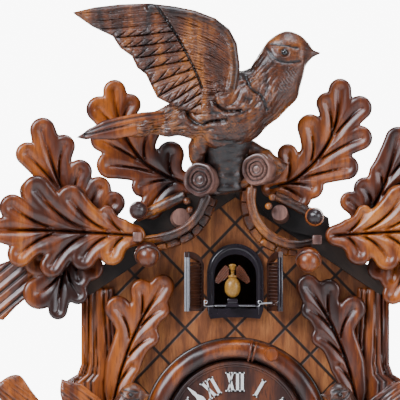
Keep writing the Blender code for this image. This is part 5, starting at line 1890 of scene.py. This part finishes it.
@dataclass(frozen=True)
class Cuckoo:
    """The small gold bird on its carriage, a little left of the window's middle."""

    x: float = -2.2
    y: float = -146.0

    def shape(self) -> bmesh.types.BMesh:
        """Egg-shaped body, collar, neck, head and upper beak."""
        parts = [
            sweep(
                "belly", ((0, self.y + 1, 104.0), (0, self.y, 112), (0, self.y, 120.8)), (4.6, 6.2, 4.6),
                sides=28, rings=40, blunt=0.34
            ),
            sweep(
                "neck", ((0, self.y, 119), (0, self.y, 123), (0, self.y - 0.6, 127)), (2.0, 1.3, 1.5), sides=20,
                rings=24, blunt=0.1
            ),
            sweep(
                "head",
                (
                    (0, self.y + 1.6, 127.2), (0, self.y - 1, 127.6), (0, self.y - 4.2, 127.0),
                    (0, self.y - 8.4, 126.2)
                ),
                (1.7, 2.3, 1.6, 0.5), sides=20, rings=30, blunt=0.3
            ),
            sweep(
                "crest", ((-3.0, self.y, 129.2), (0, self.y - 0.4, 129.8), (3.0, self.y, 129.2)),
                (0.7, 1.0, 0.7), sides=14, rings=18, blunt=0.2
            ),
            sweep(
                "collar", ((-3.4, self.y - 1, 120.4), (0, self.y - 2.0, 121.2), (3.4, self.y - 1, 120.4)),
                (0.8, 1.2, 0.8), sides=14, rings=18, blunt=0.2
            ),
        ]
        for part in parts:
            bmesh.ops.translate(part, vec=(self.x, 0, 0), verts=part.verts)
        return merge_shapes(parts)

    def wing(self, side: float) -> bpy.types.Object:
        """A thin wing with feather cuts."""
        outline = np.array((
            (2.8, 127.6), (5.6, 129.8), (9.6, 125.6), (13.3, 119.4), (13.6, 116.4), (11.2, 115.0), (6.0, 118.6),
            (2.8, 120.8),
        )) * (side, 1) + (self.x, 0)

        def relief(points: Array, inside: Array) -> tuple[Array, Array, Array]:
            across = (points[:, 0] - self.x) * side * 0.77 + points[:, 1] * 0.64
            saw = (across / 1.5) % 1.0
            # Darker at the foot of each feather step, where it tucks under the next: painted shade.
            return 1.0 + 0.5 * saw, 0.0 * saw, np.clip(1 - saw * 3, 0, 1) * 0.8

        word = "left" if side < 0 else "right"
        return carve_outline(f"cuckoo_{word}_carved_wing", outline, 0.4, relief, self.y + 8.3)

    def build(self, paints: Paints, shown: dict[str, bpy.types.Object]) -> None:
        """Makes the cuckoo."""
        finish_piece(place_mesh("gold_cuckoo", self.shape()), paints, GOLD_PAINT, "cuckoo_body", "cuckoo")
        perch = block((self.x - 4.0, self.y - 3.5, 99.6), (self.x + 4.0, self.y + 4, 103.4), 0.6)
        finish_piece(place_mesh("cuckoo_perch", perch), paints, TRIM, None, "cuckoo")
        paints.dress(("cuckoo_beak",), GOLD_PAINT, shown)
        paints.dress(("cuckoo_carriage",), TRIM, shown)
        for side, word in ((-1.0, "left"), (1.0, "right")):
            finish_piece(self.wing(side), paints, BROWN_PAINT, f"cuckoo_{word}_wing", f"cuckoo_{word}_wing")


# --------------------------------------------------------------------------- movement, chains and weights


@dataclass(frozen=True)
class Chains:
    """Chain strands made of links, pine-cone weights and pull rings."""

    link_long: float = 7.2
    link_half: float = 2.0
    wire: float = 0.62

    def link(self) -> bmesh.types.BMesh:
        """One long link about its own middle, standing upright."""
        loop = []
        reach = self.link_long / 2 - self.link_half
        for k in range(15):
            a = math.tau * k / 14
            z = self.link_half * math.sin(a) + math.copysign(
                reach, math.sin(a) if abs(math.sin(a)) > 1e-6 else 1.0
            )
            loop.append((self.link_half * math.cos(a), 0.0, z))
        return sweep("link", loop, (self.wire, self.wire), sides=6, rings=26, blunt=0.001)

    def strand(self, name: str, x: float, y: float, low: float, high: float) -> bpy.types.Object:
        """A run of links, each turned a quarter from the last."""
        pattern = bpy.data.meshes.new("link")
        shape = self.link()
        shape.to_mesh(pattern)
        shape.free()
        pitch = self.link_long - 3.0 * self.wire
        whole = bmesh.new()
        count = int((high - low) / pitch)
        for k in range(count):
            start = len(whole.verts)
            whole.from_mesh(pattern)
            whole.verts.ensure_lookup_table()
            new = whole.verts[start:]
            bmesh.ops.rotate(
                whole, cent=(0, 0, 0), matrix=Matrix.Rotation(math.pi / 4 + math.pi / 2 * (k % 2), 3, "Z"),
                verts=new
            )
            bmesh.ops.translate(whole, vec=(x, y, low + pitch * (k + 0.5)), verts=new)
        bpy.data.meshes.remove(pattern)
        return place_mesh(name, whole)

    def cone(self, name: str, x: float, y: float, top: float, long: float, radius: float) -> bpy.types.Object:
        """A pine-cone weight with overlapping scales and a hook."""
        bm = bmesh.new()
        bmesh.ops.create_uvsphere(bm, u_segments=72, v_segments=110, radius=1.0)
        layer = bm.verts.layers.float.new("stain_and_shade_mask")
        profile = np.array((
            (0.0, 0.0), (0.03, 0.34), (0.12, 0.72), (0.28, 0.96), (0.45, 0.98), (0.65, 0.86), (0.85, 0.55),
            (0.96, 0.28), (1.0, 0.0)
        ))
        for vert in bm.verts:
            share = math.acos(max(-1.0, min(1.0, vert.co.z))) / math.pi
            angle = math.atan2(vert.co.y, vert.co.x)
            reach = float(np.interp(share, profile[:, 0], profile[:, 1])) * (radius - 1.4)
            row = share * 13
            turn = angle / math.tau * 9 + 0.5 * (int(row) % 2)
            scale = abs((turn % 1.0) - 0.5) * 2
            edge = row % 1.0
            bulge = 1.5 * edge * (1 - 0.85 * scale**2) if 0.03 < share < 0.97 else 0.0
            # Painted shade: darker where each scale tucks under the next and between neighbouring scales.
            vert[layer] = min(1.0, max(0.0, 1.1 - 2.2 * edge) + 0.8 * scale**4)
            vert.co = ((reach + bulge) * math.cos(angle), (reach + bulge) * math.sin(angle), -share * long)
        hook = [(0, 0, -3), (0, 0, 1), (1.8, 0, 3.0), (0, 0, 5.2), (-1.6, 0, 3.6)]
        whole = merge_shapes([bm, sweep("hook", hook, (1.0, 0.8, 0.7), sides=10, rings=30)])
        bmesh.ops.translate(whole, vec=(x, y, top), verts=whole.verts)
        return place_mesh(name, whole, 60.0)

    def build(self, paints: Paints) -> None:
        """Hangs the chains, weights and rings where the frame's solids are."""
        for word in ("time", "strike"):
            low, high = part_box(f"{word}_weight_chain")
            x, y = (low[0] + high[0]) / 2 / MM, (low[1] + high[1]) / 2 / MM
            strand = self.strand(
                f"{word}_weight_links", x, y, low[2] / MM + DIAL_DROP, high[2] / MM + DIAL_DROP
            )
            finish_piece(strand, paints, BRASS, f"{word}_weight_chain", f"{word}_weight")
            low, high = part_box(f"{word}_weight")
            top, bottom = high[2] / MM + DIAL_DROP - 4.0, low[2] / MM + DIAL_DROP
            cone = self.cone(f"{word}_pine_cone", x, y, top, top - bottom, (high[0] - low[0]) / 2 / MM)
            finish_piece(cone, paints, CAST, f"{word}_weight", f"{word}_weight")
            low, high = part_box(f"{word}_ring_chain")
            x, y = (low[0] + high[0]) / 2 / MM, (low[1] + high[1]) / 2 / MM
            foot = low[2] / MM + DIAL_DROP
            ring = [
                (x + 6.5 * math.cos(a), y, foot + 7.7 + 6.5 * math.sin(a))
                for a in np.linspace(math.pi / 2, math.tau * 1.25, 25)
            ]
            shapes = sweep("pull_ring", ring, (1.15, 1.15), sides=12, rings=70, blunt=0.001)
            finish_piece(
                place_mesh(f"{word}_pull_ring", shapes), paints, BRASS, f"{word}_ring_chain", f"{word}_ring"
            )
            strand = self.strand(f"{word}_ring_links", x, y, foot + 14.6, high[2] / MM + DIAL_DROP)
            finish_piece(strand, paints, BRASS, f"{word}_ring_chain", f"{word}_ring")


@dataclass(frozen=True)
class Movement:
    """The brass movement, the sounding parts and the pendulum."""

    brass: tuple[str, ...] = (
        "movement_front_plate", "movement_back_plate", "time_chain_wheel", "strike_chain_wheel", "centre_wheel",
        "third_wheel", "escape_wheel", "hammer_wheel", "fly", "minute_wheel", "hour_wheel", "hand_nut",
    )
    steel: tuple[str, ...] = ("verge", "gong", "gong_hammer")
    pale: tuple[str, ...] = ("left_whistle", "right_whistle", "gong_block", "pendulum_rod")
    bellows: tuple[str, ...] = ("left_bellows_lid", "right_bellows_lid")

    def build(self, paints: Paints, shown: dict[str, bpy.types.Object]) -> None:
        """Finishes the works and carves the pendulum's leaf."""
        for nodes, finish in (
            (self.brass, BRASS), (self.steel, STEEL), (self.pale, PALE_WOOD), (self.bellows, BELLOWS)
        ):
            paints.dress(nodes, finish, shown)
        bob = OakLeaf(
            "pendulum_leaf", ((0, -212), (0, -240), (0, -268), (0, -299)),
            (
                Lobe(0.1, (-22, -230), 6.5), Lobe(0.35, (-25, -252), 7.0), Lobe(0.55, (-17, -272), 6.0),
                Lobe(0.1, (22, -230), 6.5), Lobe(0.35, (25, -252), 7.0), Lobe(0.55, (17, -272), 6.0),
            ),
            "pendulum_bob", back=-49.8, thick=6.5, tip_radius=7.0, waist=8.0, body="pendulum", curl=0.0, cup=0.0,
        )
        finish_piece(bob.make(), paints, CARVED, bob.node, bob.body)


# --------------------------------------------------------------------------- studio


@dataclass(frozen=True)
class Studio:
    """Camera, soft lights, white surroundings and a pale floor."""

    middle: tuple[float, float] = (-27.7, 180.8)
    distance: float = 7000.0
    seen: float = 314.4
    floor_drop: float = 0.62
    floor_half: float = 3.0
    backdrop_away: float = 8.0
    backdrop_half: float = 4.0
    backdrop_glow: float = 9.0
    panel_front: float = 130.0
    world_glow: float = 0.14
    lamps: tuple[tuple[str, tuple[float, float, float], float, float], ...] = (
        ("key", (-1.1, -1.3, 0.9), 1.1, 46.0),
        ("fill", (1.5, -1.0, 0.3), 1.2, 18.0),
        ("top", (0.2, -0.5, 1.6), 1.0, 20.0),
    )

    def build(self) -> None:
        """Sets up the studio."""
        data = bpy.data.cameras.new("camera")
        data.sensor_width = SENSOR_WIDE
        data.lens = SENSOR_WIDE * (self.distance - self.panel_front) / self.seen
        data.clip_end = 20.0
        camera = bpy.data.objects.new("camera", data)
        camera.location = to_frame(self.middle[0], -self.distance, self.middle[1])
        camera.rotation_euler = (math.pi / 2, 0, 0)
        bpy.context.scene.collection.objects.link(camera)
        bpy.context.scene.camera = camera
        target = to_frame(0, -120, 100)
        for name, place, size, watts in self.lamps:
            lamp = bpy.data.lights.new(name, "AREA")
            lamp.shape = "DISK"
            lamp.size = size
            lamp.energy = watts
            lamp.color = (0.86, 0.91, 1.0)
            holder = bpy.data.objects.new(name, lamp)
            holder.location = place
            holder.rotation_euler = (target - Vector(place)).to_track_quat("-Z", "Y").to_euler()
            bpy.context.scene.collection.objects.link(holder)
        world = bpy.data.worlds.new("white_surroundings")
        world.use_nodes = True
        world.node_tree.nodes["Background"].inputs["Color"].default_value = (0.90, 0.94, 1.0, 1.0)
        world.node_tree.nodes["Background"].inputs["Strength"].default_value = self.world_glow
        bpy.context.scene.world = world
        self.backdrop()
        bm = bmesh.new()
        bmesh.ops.create_grid(bm, x_segments=1, y_segments=1, size=self.floor_half)
        mesh = bpy.data.meshes.new("floor")
        bm.to_mesh(mesh)
        bm.free()
        floor = bpy.data.objects.new("floor", mesh)
        floor.location = (0, 0, -self.floor_drop)
        pale = bpy.data.materials.new("pale_floor")
        pale.use_nodes = True
        pale.node_tree.nodes["Principled BSDF"].inputs["Base Color"].default_value = (0.82, 0.82, 0.81, 1.0)
        pale.node_tree.nodes["Principled BSDF"].inputs["Roughness"].default_value = 0.7
        mesh.materials.append(pale)
        bpy.context.scene.collection.objects.link(floor)

    def backdrop(self) -> None:
        """A glowing white wall behind the clock."""
        bm = bmesh.new()
        bmesh.ops.create_grid(bm, x_segments=1, y_segments=1, size=self.backdrop_half)
        bmesh.ops.rotate(bm, cent=(0, 0, 0), matrix=Matrix.Rotation(math.pi / 2, 3, "X"), verts=bm.verts)
        mesh = bpy.data.meshes.new("backdrop")
        bm.to_mesh(mesh)
        bm.free()
        wall = bpy.data.objects.new("backdrop", mesh)
        wall.location = (0, self.backdrop_away, 0)
        glow = bpy.data.materials.new("white_backdrop")
        glow.use_nodes = True
        shader = glow.node_tree.nodes["Principled BSDF"]
        shader.inputs["Emission Color"].default_value = (1.0, 1.0, 1.0, 1.0)
        shader.inputs["Emission Strength"].default_value = self.backdrop_glow
        mesh.materials.append(glow)
        bpy.context.scene.collection.objects.link(wall)


def main() -> None:
    """Builds the studio and every part of the clock, and notes the sizes."""
    logging.basicConfig(level=logging.INFO, format="%(message)s")
    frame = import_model()
    shown = frame["nodes"]
    Studio().build()
    paints = Paints()
    CaseShell().build(paints, shown)
    Dial().build(paints, shown)
    Window().build(paints, shown)
    Cuckoo().build(paints, shown)
    Movement().build(paints, shown)
    Chains().build(paints)
    Foliage().build(paints)
    Crown().build(paints)
    Bird(
        "crown", (BIRD_MIDDLE[0], BIRD_Y, BIRD_MIDDLE[1]), "crown_bird", wing_node="bird_near_wing"
    ).build(paints)
    Bird("left", (-104, -159.2, 6), "left_bird", 0.55, 1.0, detail=2).build(paints)
    Bird("right", (104, -159.2, 6), "right_bird", 0.55, -1.0, detail=2).build(paints)


if __name__ == "__main__":
    main()
